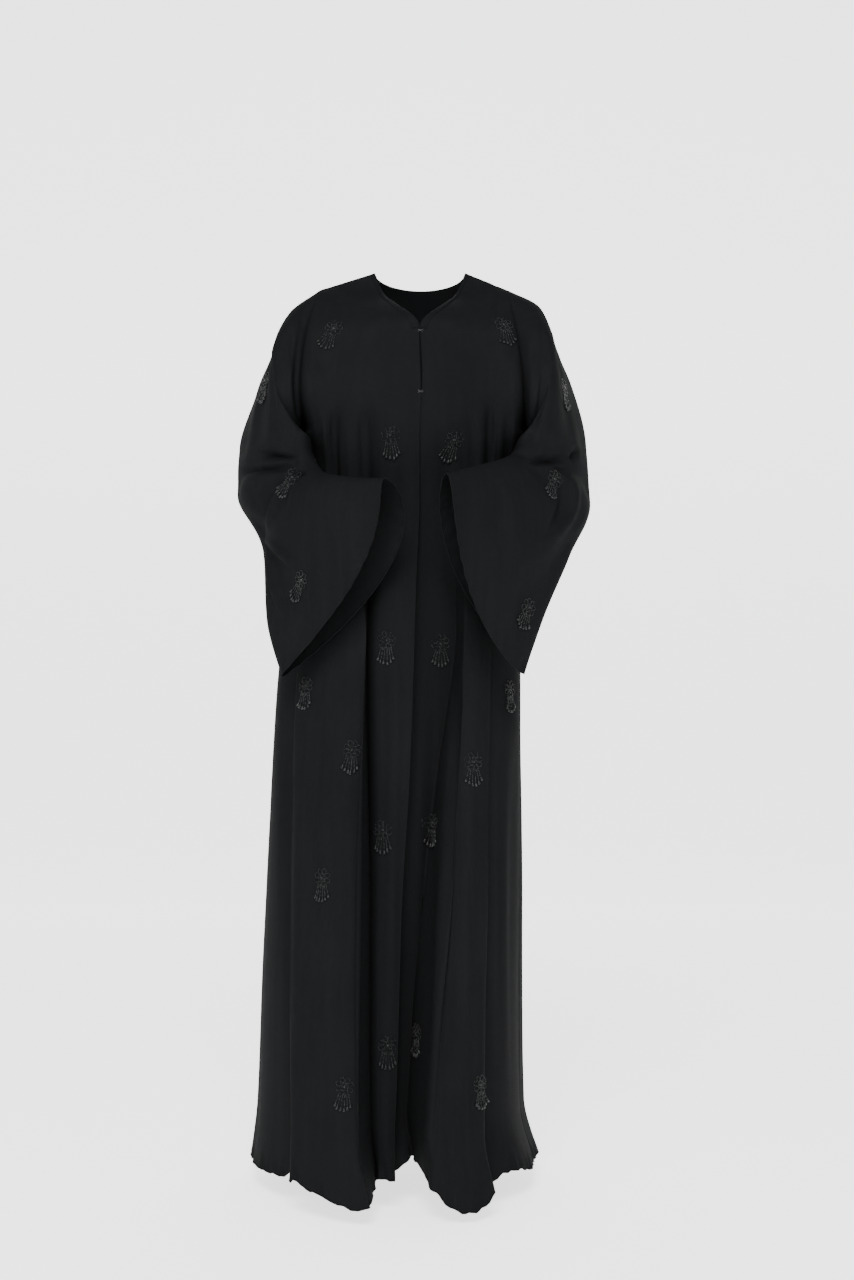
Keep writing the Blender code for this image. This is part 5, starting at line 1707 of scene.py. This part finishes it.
for name in ("upper", "lower"):
    low, high = (np.array(v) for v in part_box("eye_" + name))
    spot, out = seat((low[0] + high[0]) / 2, (low[2] + high[2]) / 2, 1)
    spot, out = np.array(spot), np.array(out)
    across = unit(np.array([1.0, 0, 0]) - out * out[0])
    down = np.cross(across, out)
    down = down if down[2] < 0 else -down
    spot = spot + out * (WIRE_RADIUS + WIRE_CLEAR)
    ring = wire_loop(spot, across, down, out, EYE_RADIUS, EYE_RADIUS)
    finished(as_mesh(f"eye_{name}_wire", [ring], dark_metal), "metal", "eye_" + name)
    nose = spot - across * NOSE_BACK + out * WIRE_RADIUS * 2
    loops = [wire_loop(nose, across, down, out, *HOOK_HALF, NOSE_BOW)]
    for up in (-1, 1):
        foot = nose - across * FOOT_BACK + down * up * FOOT_APART - out * WIRE_RADIUS
        loops.append(wire_loop(foot, across, down, out, SEWING_RADIUS, SEWING_RADIUS))
    finished(as_mesh(f"hook_{name}_wire", loops, dark_metal), "metal", "hook_" + name)

# %% [markdown]
# ## Studio
#
# A pale floor runs back and curves up into a pale wall, so no edge shows behind the cloak. Both
# give off some light, so they are paler than the lamps alone make them. The main lamp is a soft box
# in front, high above the camera: it lights the cloth's face and leaves its rims dark. Two tall
# weak boxes beside the cloak and one behind it only open the folds.

# %% Floor and light
FLOOR_Z = -1.368
FLOOR_PALE = 0.88
FLOOR_GLOW = 1.8
FLOOR_HALF = 7.0
BEND_FROM = 3.2
BEND_RADIUS = 1.8
WALL_TOP = 4.5
WORLD_COLOUR = (0.96, 0.98, 1.0, 1.0)
WORLD_STRENGTH = 0.45
# Name, place, target, width, height, watts
LAMPS = (
    ("left_box", (-2.0, -2.2, 0.0), (0, 0, -0.3), 0.9, 2.0, 16),
    ("right_box", (2.0, -2.2, 0.0), (0, 0, -0.3), 0.9, 2.0, 8),
    ("key_box", (-0.2, -3.1, 1.9), (0, 0, -0.3), 1.6, 1.6, 220),
    ("back_box", (0.6, 2.6, 1.9), (0, 0, -0.5), 1.8, 1.2, 10),
)


def make_floor():
    """A floor and a wall joined by a quarter circle, as one profile along y carried across x."""
    bend = np.linspace(0, np.pi / 2, 25)
    y = np.concatenate([[-FLOOR_HALF], BEND_FROM + BEND_RADIUS * np.sin(bend), [BEND_FROM + BEND_RADIUS]])
    z = np.concatenate([[FLOOR_Z], FLOOR_Z + BEND_RADIUS * (1 - np.cos(bend)), [WALL_TOP]])
    x = np.linspace(-FLOOR_HALF, FLOOR_HALF, 3)
    grid = np.stack(np.broadcast_arrays(x[None, :], y[:, None], z[:, None]), axis=-1)
    mesh = bpy.data.meshes.new("floor")
    mesh.from_pydata(grid.reshape(-1, 3).tolist(), [], quads(len(y), len(x)).tolist())
    mesh.shade_smooth()
    finish = Finish("pale_floor", 0.9, {"Specular IOR Level": 0.1, "Emission Strength": FLOOR_GLOW})
    finish.shader.inputs["Emission Color"].default_value = (1.0, 1.0, 1.0, 1.0)
    place = finish.place()
    grain = finish.noise(place, 40, 3.0)
    pale = finish.ramp(grain, (FLOOR_PALE,) * 3, (FLOOR_PALE + 0.02,) * 3)
    finish.drive("Base Color", pale)
    mesh.materials.append(finish.material)
    floor = bpy.data.objects.new("floor", mesh)
    bpy.context.scene.collection.objects.link(floor)


def soft_box(name, place, target, width, height, power):
    """A rectangular lamp at a place, turned towards a target."""
    lamp = bpy.data.lights.new(name, "AREA")
    lamp.shape = "RECTANGLE"
    lamp.size, lamp.size_y, lamp.energy = width, height, power
    made = bpy.data.objects.new(name, lamp)
    made.location = place
    made.rotation_euler = (Vector(target) - Vector(place)).to_track_quat("-Z", "Y").to_euler()
    bpy.context.scene.collection.objects.link(made)


make_floor()
for lamp in LAMPS:
    soft_box(*lamp)
print(len(LAMPS), "lamps")

world = bpy.data.worlds.new("studio")
world.use_nodes = True
background = world.node_tree.nodes["Background"]
background.inputs["Color"].default_value = WORLD_COLOUR
background.inputs["Strength"].default_value = WORLD_STRENGTH
bpy.context.scene.world = world
